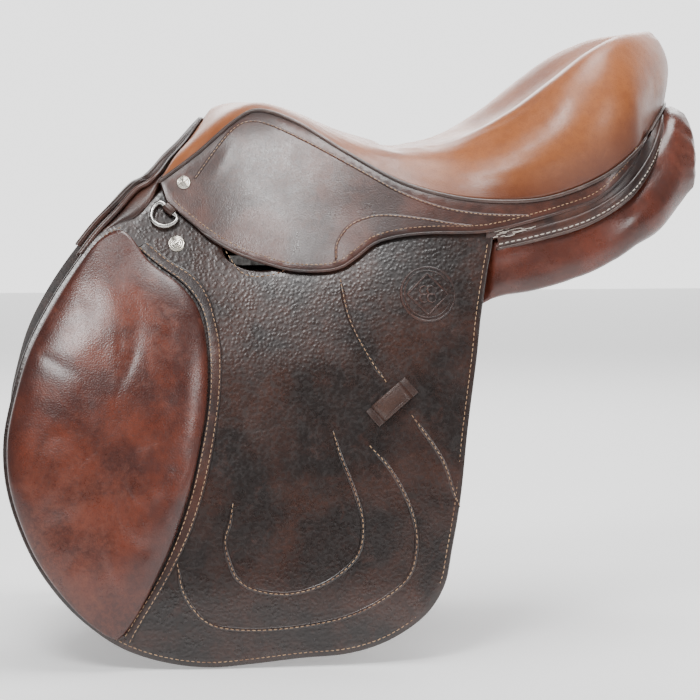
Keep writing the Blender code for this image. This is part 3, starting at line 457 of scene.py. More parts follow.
@dataclass
class Sheet:
    """A flat-cut piece of leather or web laid along the side, with rounded edges."""

    outline: np.ndarray
    low: Reach
    high: Reach
    spacing: float = 6.5
    edge: float = 1.2
    holes: list[np.ndarray] = field(default_factory=list)
    rim_reach: float = 9.0

    def shape(self) -> Shape:
        """The near side's sheet, marked with how near each point is to the cut edge."""
        loops = [self.outline] + self.holes
        inner, points, edges = [], [], []
        for number, loop in enumerate(loops):
            turn = 1.0 if turning(loop) > 0 else -1.0
            inset = moved_in(loop, self.edge * turn * (1.0 if number == 0 else -1.0))
            inner.append(inset)
            base = sum(len(p) for p in points)
            points.append(inset)
            edges += [(base + i, base + (i + 1) % len(inset)) for i in range(len(inset))]
        low, high = self.outline.min(axis=0), self.outline.max(axis=0)
        rows, pitch = [], self.spacing * 0.866
        for number, z in enumerate(np.arange(low[1] + pitch * 0.5, high[1], pitch)):
            xs = np.arange(low[0] + (number % 2) * self.spacing / 2, high[0], self.spacing)
            rows.append(np.stack([xs, np.full(len(xs), z)], axis=1))
        spread = np.vstack(rows)
        keep = within(spread, inner[0]) & (distance_to(spread, inner[0]) > self.spacing * 0.55)
        for loop in inner[1:]:
            keep &= ~within(spread, loop) & (distance_to(spread, loop) > self.spacing * 0.45)
        flat = np.vstack(points + [spread[keep]])
        made, _, triangles, *_ = delaunay_2d_cdt([Vector(p) for p in flat], edges, [], 0, 1e-4)
        made = np.array([tuple(p) for p in made])
        triangles = np.array([t for t in triangles if len(t) == 3])
        centres = made[triangles].mean(axis=1)
        keep = within(centres, inner[0])
        for loop in inner[1:]:
            keep &= ~within(centres, loop)
        triangles = triangles[keep]
        count = len(made)
        bottom, top = reach_at(self.low, made), reach_at(self.high, made)
        parts = [SIDE.lay(made, top), SIDE.lay(made, bottom)]
        rim = np.clip(1 - distance_to(made, self.outline) / self.rim_reach, 0, 1)
        marks = [rim, rim]
        faces = [tuple(t) for t in triangles.tolist()]
        faces += [tuple(reversed([i + count for i in t])) for t in triangles.tolist()]
        start, base = 2 * count, 0
        for loop, inset in zip(loops, inner):
            size = len(loop)
            rings = []
            for share, drop in ((0.3, 0.3), (0.0, 1.0)):
                place = loop * (1 - share) + inset * share
                rings.append((place, reach_at(self.high, place) - self.edge * drop * 0.85))
            for share, drop in ((0.0, 1.0), (0.3, 0.3)):
                place = loop * (1 - share) + inset * share
                rings.append((place, reach_at(self.low, place) + self.edge * drop * 0.85))
            numbers = [list(range(base, base + size))]
            for place, out in rings:
                parts.append(SIDE.lay(place, out))
                marks.append(np.ones(size))
                numbers.append(list(range(start, start + size)))
                start += size
            numbers.append([count + k for k in range(base, base + size)])
            for one, two in zip(numbers, numbers[1:]):
                for k in range(size):
                    faces.append((one[k], one[(k + 1) % size], two[(k + 1) % size], two[k]))
            base += size
        return Shape(np.vstack(parts), faces, {"rim": np.concatenate(marks)})


# ---- sewing
@dataclass(frozen=True)
class Stitching:
    """A row of hand-length stitches."""

    length: float = 3.0
    pitch: float = 4.3
    radius: float = 0.42
    proud: float = 0.15

    def along(self, path: np.ndarray, normals: np.ndarray) -> Shape:
        """Stitches laid along a path.

        Args:
            path: the points that the row follows, on the leather's surface.
            normals: the outward direction at each.

        Returns:
            One shape of all the stitches in the row.
        """
        along = run_length(path)
        count = max(int(along[-1] / self.pitch), 1)
        points, faces = [], []
        rings = ((-0.5, 0.45), (-0.32, 0.9), (0.0, 1.0), (0.32, 0.9), (0.5, 0.45))
        for number in range(count):
            middle = (number + 0.5) * along[-1] / count
            ends = [np.array([np.interp(middle + s * self.length / 2, along, path[:, k]) for k in range(3)])
                    for s in (-1, 1)]
            out = np.array([np.interp(middle, along, normals[:, k]) for k in range(3)])
            out /= np.linalg.norm(out)
            run = ends[1] - ends[0]
            run /= np.linalg.norm(run) + 1e-12
            centre = (ends[0] + ends[1]) / 2 + out * self.proud
            across = np.cross(out, run)
            tilt = 0.09 * math.sin(number * 1.7)
            run = run + across * tilt
            across = np.cross(out, run)
            base = len(points)
            for share, width in rings:
                dip = -0.35 * self.radius * (abs(share) / 0.5) ** 3
                for k in range(6):
                    angle = math.pi * k / 3
                    points.append(centre + run * share * self.length + out * dip
                                  + (across * math.cos(angle) + out * math.sin(angle) * 0.8) * self.radius * width)
            faces += grid_faces(len(rings), 6, base, round_columns=True)
            faces.append(tuple(range(base, base + 6)))
            faces.append(tuple(reversed(range(base + 24, base + 30))))
        return Shape(np.array(points), faces)

    def on_side(self, line: Sequence[Pair] | np.ndarray, out: float, smooth: bool = True) -> Shape:
        """Stitches along a line of places (x, z), out mm beyond the side."""
        flat = smooth_line(line, 2.0) if smooth else resample(np.asarray(line, float), 2.0)
        return self.along(SIDE.lay(flat, out), SIDE.normals(flat))


def cord_on_side(line: Sequence[Pair] | np.ndarray, out: float, radius: float, flat: float = 0.6,
                 smooth: bool = True) -> Shape:
    """A low cord along a line of places (x, z): the ridge that a crease iron or a filled seam leaves."""
    places = smooth_line(line, 3.0) if smooth else resample(np.asarray(line, float), 3.0)
    path, out_ward = SIDE.lay(places, out), SIDE.normals(places)
    taper = np.clip(np.minimum(np.arange(len(path)), np.arange(len(path))[::-1]) / 4.0, 0.25, 1.0)
    points = []
    tangents = np.gradient(path, axis=0)
    tangents /= np.linalg.norm(tangents, axis=1)[:, None]
    for i, centre in enumerate(path):
        across = np.cross(tangents[i], out_ward[i])
        for a, b in round_profile(radius, 8, flat):
            points.append(centre + (across * a + out_ward[i] * b) * taper[i])
    faces = grid_faces(len(path), 8, round_columns=True)
    faces += [tuple(range(8)), tuple(reversed(range((len(path) - 1) * 8, len(path) * 8)))]
    return Shape(np.array(points), faces)


# ---- padding
@dataclass(frozen=True)
class Stuffing:
    """How a stuffed piece swells when its leather is drawn over the filling."""

    cap: float
    pressure: float = 4.0
    frames: int = 16
    mass: float = 0.3
    stiffness: float = 12.0

    def swell(self, shape: Shape, held: np.ndarray, share: Optional[np.ndarray] = None) -> Shape:
        """Blow a closed shape up as cloth and limit how far each point moves.

        Args:
            shape: the closed shape, at rest.
            held: how firmly each point is held, from 0 to 1.
            share: the share of the cap that each point may use.

        Returns:
            The swollen shape; the given one where the cloth gives no finite result.
        """
        mesh = bpy.data.meshes.new("stuffing")
        mesh.from_pydata((shape.points * MM).tolist(), [], shape.faces)
        turn_outward(mesh)
        body = bpy.data.objects.new("stuffing", mesh)
        scene = bpy.context.scene
        scene.collection.objects.link(body)
        group = body.vertex_groups.new(name="held")
        for weight in np.unique(np.round(held, 2)):
            if weight > 0:
                group.add(np.nonzero(np.round(held, 2) == weight)[0].tolist(), float(weight), "REPLACE")
        cloth = body.modifiers.new("leather", "CLOTH")
        cloth.point_cache.frame_start, cloth.point_cache.frame_end = 1, self.frames
        cloth.settings.quality = 6
        cloth.settings.mass = self.mass
        cloth.settings.tension_stiffness = cloth.settings.compression_stiffness = self.stiffness
        cloth.settings.shear_stiffness = self.stiffness * 0.5
        cloth.settings.bending_stiffness = 1.5
        cloth.settings.use_pressure = True
        cloth.settings.uniform_pressure_force = self.pressure
        cloth.settings.vertex_group_mass = "held"
        cloth.settings.effector_weights.gravity = 0.0
        cloth.collision_settings.use_collision = False
        for number in range(1, self.frames + 1):
            scene.frame_set(number)
        seen = body.evaluated_get(bpy.context.evaluated_depsgraph_get())
        moved = np.empty(len(seen.data.vertices) * 3, np.float32)
        seen.data.vertices.foreach_get("co", moved)
        moved = moved.reshape(-1, 3).astype(float) / MM - shape.points
        scene.frame_set(1)
        bpy.data.objects.remove(body, do_unlink=True)
        bpy.data.meshes.remove(mesh)
        if not np.isfinite(moved).all():
            return shape
        far = np.linalg.norm(moved, axis=1)
        limit = self.cap * (np.ones(len(far)) if share is None else share)
        # the further it wants to go, the nearer it comes to its limit
        allowed = limit * np.tanh(far / np.maximum(limit, 1e-6))
        moved *= (allowed / np.maximum(far, 1e-9))[:, None]
        return Shape(shape.points + moved, shape.faces, shape.marks, shape.slots)


def crumple(points: np.ndarray, normals: np.ndarray, size: float, depth: float, stretch: Triple = (1, 1, 1),
            amount: Optional[np.ndarray] = None, seed: float = 0.0) -> np.ndarray:
    """Fine creases pressed into a surface.

    Args:
        points: the surface's points.
        normals: their outward directions.
        size: the creases' spacing.
        depth: how deep they go.
        stretch: how much wider the creases run along each axis.
        amount: the share of the depth used at each point.
        seed: moves the pattern.

    Returns:
        The creased points.
    """
    out = np.array(points, float)
    for i, p in enumerate(points):
        at = Vector((p[0] / stretch[0] / size + seed, p[1] / stretch[1] / size, p[2] / stretch[2] / size))
        crease = 1.0 - abs(noise.noise(at)) * 2.0
        crease = max(crease, 0.0) ** 4
        soft = noise.noise(at * 0.37)
        share = 1.0 if amount is None else amount[i]
        out[i] = p + normals[i] * (soft * 0.5 - crease) * depth * share
    return out


def point_normals(shape: Shape) -> np.ndarray:
    """The outward direction at each point of a closed shape."""
    normals = np.zeros_like(shape.points)
    for f in shape.faces:
        corners = shape.points[list(f)]
        n = np.zeros(3)
        for k in range(1, len(f) - 1):
            n += np.cross(corners[k] - corners[0], corners[k + 1] - corners[0])
        for i in f:
            normals[i] += n
    normals /= np.linalg.norm(normals, axis=1)[:, None] + 1e-12
    volume = sum(float(np.dot(shape.points[f[0]], np.cross(shape.points[f[k]], shape.points[f[k + 1]])))
                 for f in shape.faces for k in range(1, len(f) - 1))
    return normals if volume > 0 else -normals


# ---- finishes
class Graph:
    """Lays out a material's nodes."""

    def __init__(self, name: str) -> None:
        """Start a material with an empty surface.

        Args:
            name: the material's name.
        """
        self.material = bpy.data.materials.new(name)
        self.material.use_nodes = True
        self.tree = self.material.node_tree
        self.tree.nodes.clear()
        self.output = self.tree.nodes.new("ShaderNodeOutputMaterial")
        self.shader = self.tree.nodes.new("ShaderNodeBsdfPrincipled")
        self.tree.links.new(self.shader.outputs[0], self.output.inputs[0])
        self.place = self.tree.nodes.new("ShaderNodeTexCoord").outputs["Object"]

    def node(self, kind: str, settings: Optional[dict] = None, **sockets: object) -> bpy.types.Node:
        """A node with its settings and its sockets, given by name with _ for a space.

        Args:
            kind: the node's type, without its prefix.
            settings: properties of the node.
            sockets: values, or other nodes' outputs.

        Returns:
            The node.
        """
        made = self.tree.nodes.new(f"ShaderNode{kind}")
        for key, value in (settings or {}).items():
            setattr(made, key, value)
        for key, value in sockets.items():
            self.feed(made.inputs[key.replace("_", " ")], value)
        return made

    def feed(self, socket: bpy.types.NodeSocket, value: object) -> None:
        """Give a socket a value or link an output to it."""
        if isinstance(value, bpy.types.NodeSocket):
            self.tree.links.new(value, socket)
        else:
            socket.default_value = value

    def stretched(self, scale: Triple) -> bpy.types.NodeSocket:
        """The place on the object with each axis scaled."""
        return self.node("Mapping", Vector=self.place, Scale=scale).outputs[0]

    def noise(self, size_mm: float, detail: float = 4.0, rough: float = 0.55, place: object = None,
              twist: float = 0.0) -> bpy.types.NodeSocket:
        """Soft noise whose patches are about size_mm across."""
        made = self.node("TexNoise", Vector=place or self.place, Scale=1000.0 / size_mm, Detail=detail,
                         Roughness=rough, Distortion=twist)
        return made.outputs[0]

    def span(self, value: bpy.types.NodeSocket, low: float, high: float, to_low: float = 0.0,
             to_high: float = 1.0, kind: str = "SMOOTHSTEP") -> bpy.types.NodeSocket:
        """A value brought from one span to another."""
        made = self.node("MapRange", {"interpolation_type": kind}, Value=value, From_Min=low, From_Max=high,
                         To_Min=to_low, To_Max=to_high)
        return made.outputs[0]

    def sum(self, kind: str, a: object, b: object) -> bpy.types.NodeSocket:
        """Two values added, multiplied or otherwise put together."""
        made = self.node("Math", {"operation": kind})
        self.feed(made.inputs[0], a)
        self.feed(made.inputs[1], b)
        return made.outputs[0]

    def mix(self, share: object, a: object, b: object) -> bpy.types.NodeSocket:
        """Two colours mixed."""
        made = self.node("Mix", {"data_type": "RGBA"})
        self.feed(made.inputs[0], share)
        self.feed(made.inputs[6], (*a, 1.0) if isinstance(a, tuple) else a)
        self.feed(made.inputs[7], (*b, 1.0) if isinstance(b, tuple) else b)
        return made.outputs[2]

    def mark(self, name: str) -> bpy.types.NodeSocket:
        """A value that the mesh carries at each point."""
        return self.node("Attribute", {"attribute_name": name}).outputs["Fac"]

    def bump(self, height: bpy.types.NodeSocket, depth_mm: float, over: object = None) -> bpy.types.NodeSocket:
        """A surface pressed in and out by a height, depth_mm from lowest to highest."""
        made = self.node("Bump", Height=height, Distance=depth_mm * MM, Strength=1.0)
        if over is not None:
            self.feed(made.inputs["Normal"], over)
        return made.outputs[0]

    def drifted(self, size_mm: float) -> bpy.types.NodeSocket:
        """The place on the object, shifted here and there so that a grain runs unevenly."""
        drift = self.node("TexNoise", Vector=self.place, Scale=1000.0 / (size_mm * 3.2), Detail=2.0)
        scaled = self.node("VectorMath", {"operation": "SCALE"}, Scale=size_mm * MM * 0.9)
        self.feed(scaled.inputs[0], drift.outputs["Color"])
        made = self.node("VectorMath", {"operation": "ADD"})
        self.feed(made.inputs[0], self.place)
        self.feed(made.inputs[1], scaled.outputs[0])
        return made.outputs[0]

    def set(self, **sockets: object) -> None:
        """Give the shader's own sockets values or outputs, by name with _ for a space."""
        for key, value in sockets.items():
            value = (*value, 1.0) if isinstance(value, tuple) and len(value) == 3 else value
            self.feed(self.shader.inputs[key.replace("_", " ")], value)


@dataclass(frozen=True)
class Leather:
    """A dressed leather: its dye, its darker patches and scuffs, the painted shade and painted highlights its mesh
    marks, its grain and its gloss.
    """

    name: str
    base: Colour
    deep: Colour
    # lighter colour of scuffed places, also used for painted highlights
    worn_and_highlight: Colour
    # colour of the dyed cut edges, also the colour that painted shade is mixed towards
    rim: Colour
    rough: Pair = (0.3, 0.48)
    grain_mm: float = 1.1
    grain_depth: float = 0.10
    pebbled: bool = False
    patch_mm: float = 55.0
    patch: Pair = (0.38, 0.66)
    crease_mm: float = 20.0
    crease_depth: float = 0.25
    scuff: float = 0.25
    coat: float = 0.25
    coat_rough: float = 0.22

    def make(self) -> bpy.types.Material:
        """The leather's material."""
        g = Graph(self.name)
        patches = g.span(g.noise(self.patch_mm, 5.0, 0.6, twist=0.4), *self.patch)
        fine = g.noise(6.0, 4.0, 0.65)
        colour = g.mix(patches, self.deep, self.base)
        colour = g.mix(g.span(fine, 0.35, 0.75, 0.0, 0.35), colour, self.deep)
        # painted shade, mixed towards the edge colour where the mesh marks it: the seat's rolled lower edge (over a
        # darker dye), the panels' lower part, the knee pads' sloping border and foot
        colour = g.mix(g.mark("shade_tone"), colour, self.rim)
        # lighter at random scuffs and where the mesh marks it: real scuffing on the seat's cantle and the pads' lower
        # front, painted highlights on the skirts and the knee pads' upper middle, lighter patches at the panels'
        # gathered ends
        rubbed_and_highlight = g.sum("MULTIPLY", g.span(g.noise(16.0, 6.0, 0.7, twist=1.0), 0.52, 0.74), self.scuff)
        rubbed_and_highlight = g.sum("ADD", rubbed_and_highlight, g.sum("MULTIPLY", g.mark("wear_and_highlight"), g.span(g.noise(5.0, 6.0, 0.8), 0.38, 0.62)))
        colour = g.mix(rubbed_and_highlight, colour, self.worn_and_highlight)
        pebble = g.node("TexVoronoi", {"feature": "SMOOTH_F1"},
                        Vector=g.drifted(self.grain_mm) if self.pebbled else g.place,
                        Scale=1000.0 / self.grain_mm, Randomness=0.95, Smoothness=0.6 if self.pebbled else 1.0)
        height = g.span(pebble.outputs["Distance"], 0.75, 0.1)
        colour = g.mix(g.span(height, 0.35, 0.0, 0.0, 0.35), colour, self.deep)
        colour = g.mix(g.span(g.mark("rim"), 0.45, 1.0, 0.0, 0.85), colour, self.rim)
        folds = g.node("TexNoise", {"noise_type": "RIDGED_MULTIFRACTAL"}, Vector=g.place,
                       Scale=1000.0 / self.crease_mm, Detail=3.0, Roughness=0.5, Distortion=0.6).outputs[0]
        normal = g.bump(g.span(folds, 0.9, 2.2, 1.0, 0.0), self.crease_depth)
        normal = g.bump(g.noise(3.4, 3.0, 0.6), self.grain_depth * 1.2, normal)
        normal = g.bump(height, self.grain_depth, normal)
        gloss = g.sum("ADD", g.span(g.noise(23.0, 5.0, 0.65), 0.3, 0.75, *self.rough),
                      g.sum("MULTIPLY", rubbed_and_highlight, 0.22))
        gloss = g.sum("ADD", gloss, g.span(height, 0.4, 0.0, 0.0, 0.12))
        g.set(Base_Color=colour, Roughness=gloss, Normal=normal, Coat_Weight=self.coat,
              Coat_Roughness=self.coat_rough, Specular_IOR_Level=0.5)
        return g.material


@dataclass(frozen=True)
class Metal:
    """A plated or bare metal, handled and tarnished."""

    name: str
    base: Colour
    dull: Colour
    rough: Pair = (0.16, 0.42)

    def make(self) -> bpy.types.Material:
        """The metal's material."""
        g = Graph(self.name)
        tarnish = g.span(g.noise(5.0, 6.0, 0.7, twist=0.8), 0.42, 0.72)
        scratch = g.noise(0.8, 3.0, 0.6, place=g.stretched((1.0, 5.0, 1.0)))
        g.set(Base_Color=g.mix(tarnish, self.base, self.dull), Metallic=1.0,
              Roughness=g.span(g.sum("ADD", g.sum("MULTIPLY", tarnish, 0.6), g.sum("MULTIPLY", scratch, 0.5)),
                               0.1, 1.0, *self.rough, kind="LINEAR"),
              Normal=g.bump(scratch, 0.03))
        return g.material


@dataclass(frozen=True)
class Wood:
    """Laminated beech, varnished thin."""

    name: str
    base: Colour
    dark: Colour

    def make(self) -> bpy.types.Material:
        """The wood's material."""
        g = Graph(self.name)
        grain = g.noise(7.0, 6.0, 0.65, place=g.stretched((0.12, 1.0, 1.0)), twist=0.5)
        plies = g.node("TexWave", {"wave_type": "BANDS", "bands_direction": "Z"}, Vector=g.place, Scale=160.0,
                       Distortion=1.5, Detail=2.0).outputs["Fac"]
        colour = g.mix(g.span(grain, 0.35, 0.7), self.base, self.dark)
        colour = g.mix(g.sum("MULTIPLY", plies, 0.25), colour, self.dark)
        g.set(Base_Color=colour, Roughness=g.span(grain, 0.2, 0.8, 0.42, 0.62), Normal=g.bump(grain, 0.12),
              Coat_Weight=0.1)
        return g.material


@dataclass(frozen=True)
class Woven:
    """A woven web: warp and weft ribs over a fuzzy ground."""

    name: str
    base: Colour
    dark: Colour
    rib_mm: float = 1.4

    def make(self) -> bpy.types.Material:
        """The web's material."""
        g = Graph(self.name)
        ribs = []
        for direction, share in (("X", 1.0), ("Z", 1.6)):
            ribs.append(g.node("TexWave", {"wave_type": "BANDS", "bands_direction": direction}, Vector=g.place,
                               Scale=1000.0 / (self.rib_mm * share) / 3.1416 / 2, Distortion=0.4).outputs["Fac"])
        weave = g.sum("MULTIPLY", ribs[0], ribs[1])
        fuzz = g.noise(0.7, 4.0, 0.7)
        colour = g.mix(g.span(weave, 0.05, 0.6), self.dark, self.base)
        colour = g.mix(g.span(g.noise(18.0, 4.0, 0.6), 0.45, 0.75, 0.0, 0.5), colour, self.dark)
        g.set(Base_Color=colour, Roughness=g.span(fuzz, 0.2, 0.8, 0.78, 0.95),
              Normal=g.bump(fuzz, 0.15, g.bump(weave, 0.4)), Sheen_Weight=0.35)
        return g.material


@dataclass(frozen=True)
class Thread:
    """Waxed linen thread, two strands laid together."""

    name: str
    base: Colour
    soiled: Colour

    def make(self) -> bpy.types.Material:
        """The thread's material."""
        g = Graph(self.name)
        twist = g.node("TexWave", {"wave_type": "BANDS", "bands_direction": "DIAGONAL"}, Vector=g.place,
                       Scale=420.0, Distortion=0.6).outputs["Fac"]
        soil = g.span(g.noise(30.0, 5.0, 0.7), 0.4, 0.66)
        colour = g.mix(soil, self.base, self.soiled)
        # the grooves between the strands are darkened towards the darker colour as well
        colour = g.mix(g.span(twist, 0.5, 0.0, 0.0, 0.5), colour, self.soiled)
        g.set(Base_Color=colour, Roughness=g.span(twist, 0.0, 1.0, 0.5, 0.7), Normal=g.bump(twist, 0.12),
              Sheen_Weight=0.15)
        return g.material


@dataclass(frozen=True)
class FoamFinish:
    """Open-celled seat foam."""

    name: str
    base: Colour
    dark: Colour

    def make(self) -> bpy.types.Material:
        """The foam's material."""
        g = Graph(self.name)
        cells = g.node("TexVoronoi", Vector=g.place, Scale=900.0).outputs["Distance"]
        colour = g.mix(g.span(cells, 0.1, 0.7), self.dark, self.base)
        colour = g.mix(g.span(g.noise(40.0), 0.4, 0.8, 0.0, 0.4), colour, self.dark)
        g.set(Base_Color=colour, Roughness=g.span(cells, 0.0, 1.0, 0.98, 0.82), Normal=g.bump(cells, 0.5))
        return g.material


@dataclass(frozen=True)
class Glow:
    """A lit studio backdrop."""

    name: str
    base: Colour
    strength: float

    def make(self) -> bpy.types.Material:
        """The backdrop's material."""
        g = Graph(self.name)
        faint = g.noise(900.0, 2.0, 0.5)
        g.set(Base_Color=(0.0, 0.0, 0.0), Roughness=1.0, Specular_IOR_Level=0.0,
              Emission_Color=g.mix(faint, self.base, tuple(c * 0.99 for c in self.base)),
              Emission_Strength=self.strength)
        return g.material


@dataclass(frozen=True)
class StudioPaint:
    """The plain pale floor."""

    name: str
    base: Colour

    def make(self) -> bpy.types.Material:
        """The floor's material."""
        g = Graph(self.name)
        faint = g.noise(160.0, 3.0, 0.5)
        other = tuple(c * 0.985 for c in self.base)
        g.set(Base_Color=g.mix(faint, self.base, other), Roughness=0.75, Emission_Color=self.base,
              Emission_Strength=0.3)
        return g.material


class Finish(Enum):
    """Every finish on the saddle."""

    SEAT = Leather("seat_calf", base=(0.37, 0.118, 0.034), deep=(0.20, 0.052, 0.015), worn_and_highlight=(0.45, 0.17, 0.07),
                   rim=(0.085, 0.018, 0.007), rough=(0.30, 0.46), grain_mm=0.9, grain_depth=0.05, patch_mm=95.0,
                   patch=(0.25, 0.6), crease_mm=34.0, crease_depth=0.12, scuff=0.12, coat=0.3, coat_rough=0.32)
    SKIRT = Leather("skirt_hide", base=(0.098, 0.030, 0.018), deep=(0.030, 0.010, 0.007), worn_and_highlight=(0.17, 0.06, 0.035),
                    rim=(0.016, 0.008, 0.007), rough=(0.26, 0.42), grain_mm=1.0, grain_depth=0.06, patch_mm=48.0,
                    crease_mm=26.0, crease_depth=0.16, scuff=0.2, coat=0.35, coat_rough=0.2)
    FLAP = Leather("flap_hide", base=(0.046, 0.018, 0.012), deep=(0.012, 0.007, 0.006), worn_and_highlight=(0.10, 0.030, 0.016),
                   rim=(0.02, 0.010, 0.008), rough=(0.24, 0.38), grain_mm=3.0, grain_depth=0.13, pebbled=True,
                   patch_mm=60.0, crease_mm=30.0, crease_depth=0.22, scuff=0.25, coat=0.5, coat_rough=0.2)
    PAD = Leather("pad_hide", base=(0.150, 0.032, 0.016), deep=(0.052, 0.012, 0.008), worn_and_highlight=(0.20, 0.058, 0.032),
                  rim=(0.03, 0.010, 0.008), rough=(0.24, 0.38), grain_mm=1.2, grain_depth=0.07, patch_mm=52.0,
                  crease_mm=24.0, crease_depth=0.26, scuff=0.3, coat=0.35, coat_rough=0.24)
    PANEL = Leather("panel_hide", base=(0.135, 0.031, 0.017), deep=(0.052, 0.013, 0.008), worn_and_highlight=(0.25, 0.09, 0.055),
                    rim=(0.035, 0.012, 0.009), rough=(0.24, 0.38), grain_mm=1.0, grain_depth=0.05, patch_mm=60.0,
                    crease_mm=26.0, crease_depth=0.16, scuff=0.15, coat=0.4, coat_rough=0.18)
    STRAP = Leather("strap_hide", base=(0.060, 0.026, 0.017), deep=(0.028, 0.012, 0.009), worn_and_highlight=(0.13, 0.06, 0.035),
                    rim=(0.014, 0.008, 0.006), rough=(0.36, 0.52), grain_mm=1.3, grain_depth=0.08, coat=0.12)
    EDGE = Leather("edge_hide", base=(0.075, 0.026, 0.016), deep=(0.017, 0.008, 0.007), worn_and_highlight=(0.12, 0.05, 0.03),
                   rim=(0.012, 0.007, 0.006), rough=(0.3, 0.45), grain_mm=1.2, grain_depth=0.07, coat=0.25)
    PIPING = Leather("piping_hide", base=(0.085, 0.045, 0.035), deep=(0.035, 0.018, 0.014), worn_and_highlight=(0.22, 0.15, 0.12),
                     rim=(0.03, 0.015, 0.012), rough=(0.28, 0.4), grain_mm=1.0, grain_depth=0.05, scuff=0.5)
    STEEL = Metal("stainless", (0.62, 0.61, 0.59), (0.34, 0.32, 0.30))
    # painted shade: the ironwork's colour is darkened to stand for the shade it sits in under the skirts and flaps
    IRON = Metal("shade_darkened_iron", (0.16, 0.155, 0.15), (0.06, 0.055, 0.05), (0.28, 0.5))
    NICKEL = Metal("nickel_plate", (0.66, 0.62, 0.55), (0.30, 0.26, 0.21), (0.14, 0.38))
    BEECH = Wood("beech_ply", (0.50, 0.32, 0.165), (0.30, 0.165, 0.075))
    WEB = Woven("linen_web", (0.56, 0.48, 0.34), (0.30, 0.24, 0.16))
    THREAD = Thread("waxed_thread", (0.56, 0.36, 0.20), (0.26, 0.13, 0.07))
    DARK_THREAD = Thread("dark_thread", (0.30, 0.17, 0.10), (0.14, 0.07, 0.04))
    PALE_THREAD = Thread("frayed_thread", (0.75, 0.68, 0.60), (0.45, 0.37, 0.30))
    FOAM = FoamFinish("seat_foam_cells", (0.80, 0.72, 0.52), (0.58, 0.48, 0.30))
    FLOOR = StudioPaint("studio_floor", (0.93, 0.93, 0.93))
    BACKDROP = Glow("lit_backdrop", (1.0, 1.0, 1.0), 2.4)


class FinishShelf:
    """Makes each finish's material once and hands it out."""

    def __init__(self) -> None:
        """Start with nothing made."""
        self.made: dict[Finish, bpy.types.Material] = {}

    def get(self, finish: Finish) -> bpy.types.Material:
        """The material of a finish."""
        if finish not in self.made:
            self.made[finish] = finish.value.make()
        return self.made[finish]


SHELF = FinishShelf()


def through(knots: np.ndarray, values: Sequence[float], at: np.ndarray) -> np.ndarray:
    """A smooth curve that passes each knot at its value.

    Args:
        knots: one row for each value.
        values: rising numbers.
        at: where the curve is wanted.

    Returns:
        One row for each place asked for.
    """
    knots, values, at = np.asarray(knots, float), np.asarray(values, float), np.asarray(at, float)
    slopes = np.empty_like(knots)
    slopes[1:-1] = (knots[2:] - knots[:-2]) / (values[2:] - values[:-2])[:, None]
    slopes[0] = (knots[1] - knots[0]) / (values[1] - values[0])
    slopes[-1] = (knots[-1] - knots[-2]) / (values[-1] - values[-2])
    k = np.clip(np.searchsorted(values, at, side="right") - 1, 0, len(values) - 2)
    gap = (values[k + 1] - values[k])[:, None]
    t = ((at - values[k])[:, None]) / gap
    return (knots[k] * (2 * t**3 - 3 * t**2 + 1) + slopes[k] * gap * (t**3 - 2 * t**2 + t)
            + knots[k + 1] * (3 * t**2 - 2 * t**3) + slopes[k + 1] * gap * (t**3 - t**2))


def both_halves(near: Shape) -> Shape:
    """A near-side shape joined to its mirror along the middle plane."""
    on_middle = np.abs(near.points[:, 1]) < 1e-4
    count, number = len(near.points), len(near.points)
    far = np.empty(count, int)
    for i in range(count):
        if on_middle[i]:
            far[i] = i
        else:
            far[i], number = number, number + 1
    points = np.vstack([near.points, near.points[~on_middle] * MIRROR])
    faces, slots = [], []
    for side in (0, 1):
        for f, slot in zip(near.faces, near.slots or [0] * len(near.faces)):
            corners = f if side == 0 else tuple(int(far[i]) for i in reversed(f))
            clean = tuple(dict.fromkeys(corners))
            if len(clean) > 2 and not all(on_middle[i] for i in f):
                faces.append(clean)
                slots.append(slot)
    marks = {k: np.concatenate([v, v[~on_middle]]) for k, v in near.marks.items()}
    return Shape(points, faces, marks, slots)


def merged(shape: Shape, gap: float = 0.02) -> Shape:
    """The shape with points closer than gap made one."""
    key = np.round(shape.points / gap).astype(np.int64)
    _, first, index = np.unique(key, axis=0, return_index=True, return_inverse=True)
    index = index.reshape(-1)
    faces, slots = [], []
    for f, slot in zip(shape.faces, shape.slots or [0] * len(shape.faces)):
        clean = tuple(dict.fromkeys(int(index[i]) for i in f))
        if len(clean) > 2:
            faces.append(clean)
            slots.append(slot)
    return Shape(shape.points[first], faces, {k: v[first] for k, v in shape.marks.items()}, slots)


def ribbon(first: np.ndarray, second: np.ndarray, thickness: float, rows: int = 60, bulge: float = 0.0) -> Shape:
    """A strip of leather stretched between two edges.

    Args:
        first: one edge's points.
        second: the other edge's points.
        thickness: the leather's thickness.
        rows: how finely the strip is cut along its length.
        bulge: how far its middle stands out.

    Returns:
        The closed strip.
    """
    ends = []
    for line in (first, second):
        along = run_length(line)
        at = np.linspace(0, along[-1], rows)
        ends.append(np.stack([np.interp(at, along, line[:, k]) for k in range(3)], axis=1))
    columns = 9
    share = np.linspace(0, 1, columns)[None, :, None]
    middle = ends[0][:, None] * (1 - share) + ends[1][:, None] * share
    run, across = np.gradient(middle, axis=0), np.gradient(middle, axis=1)
    out = np.cross(run, across)
    out /= np.linalg.norm(out, axis=2)[..., None] + 1e-9
    for _ in range(6):
        out[1:-1] = (out[:-2] + out[1:-1] * 2 + out[2:]) / 4
    out /= np.linalg.norm(out, axis=2)[..., None] + 1e-9
    if (out[:, :, 1] * middle[:, :, 1]).sum() < 0:
        out = -out
    rise = (bulge * np.sin(np.pi * share))
    edge = np.minimum(np.minimum(share, 1 - share) * 6, 1)
    top = middle + out * (rise + thickness / 2 * (0.35 + 0.65 * edge))
    bottom = middle + out * (rise - thickness / 2)
    return slab(top, bottom)


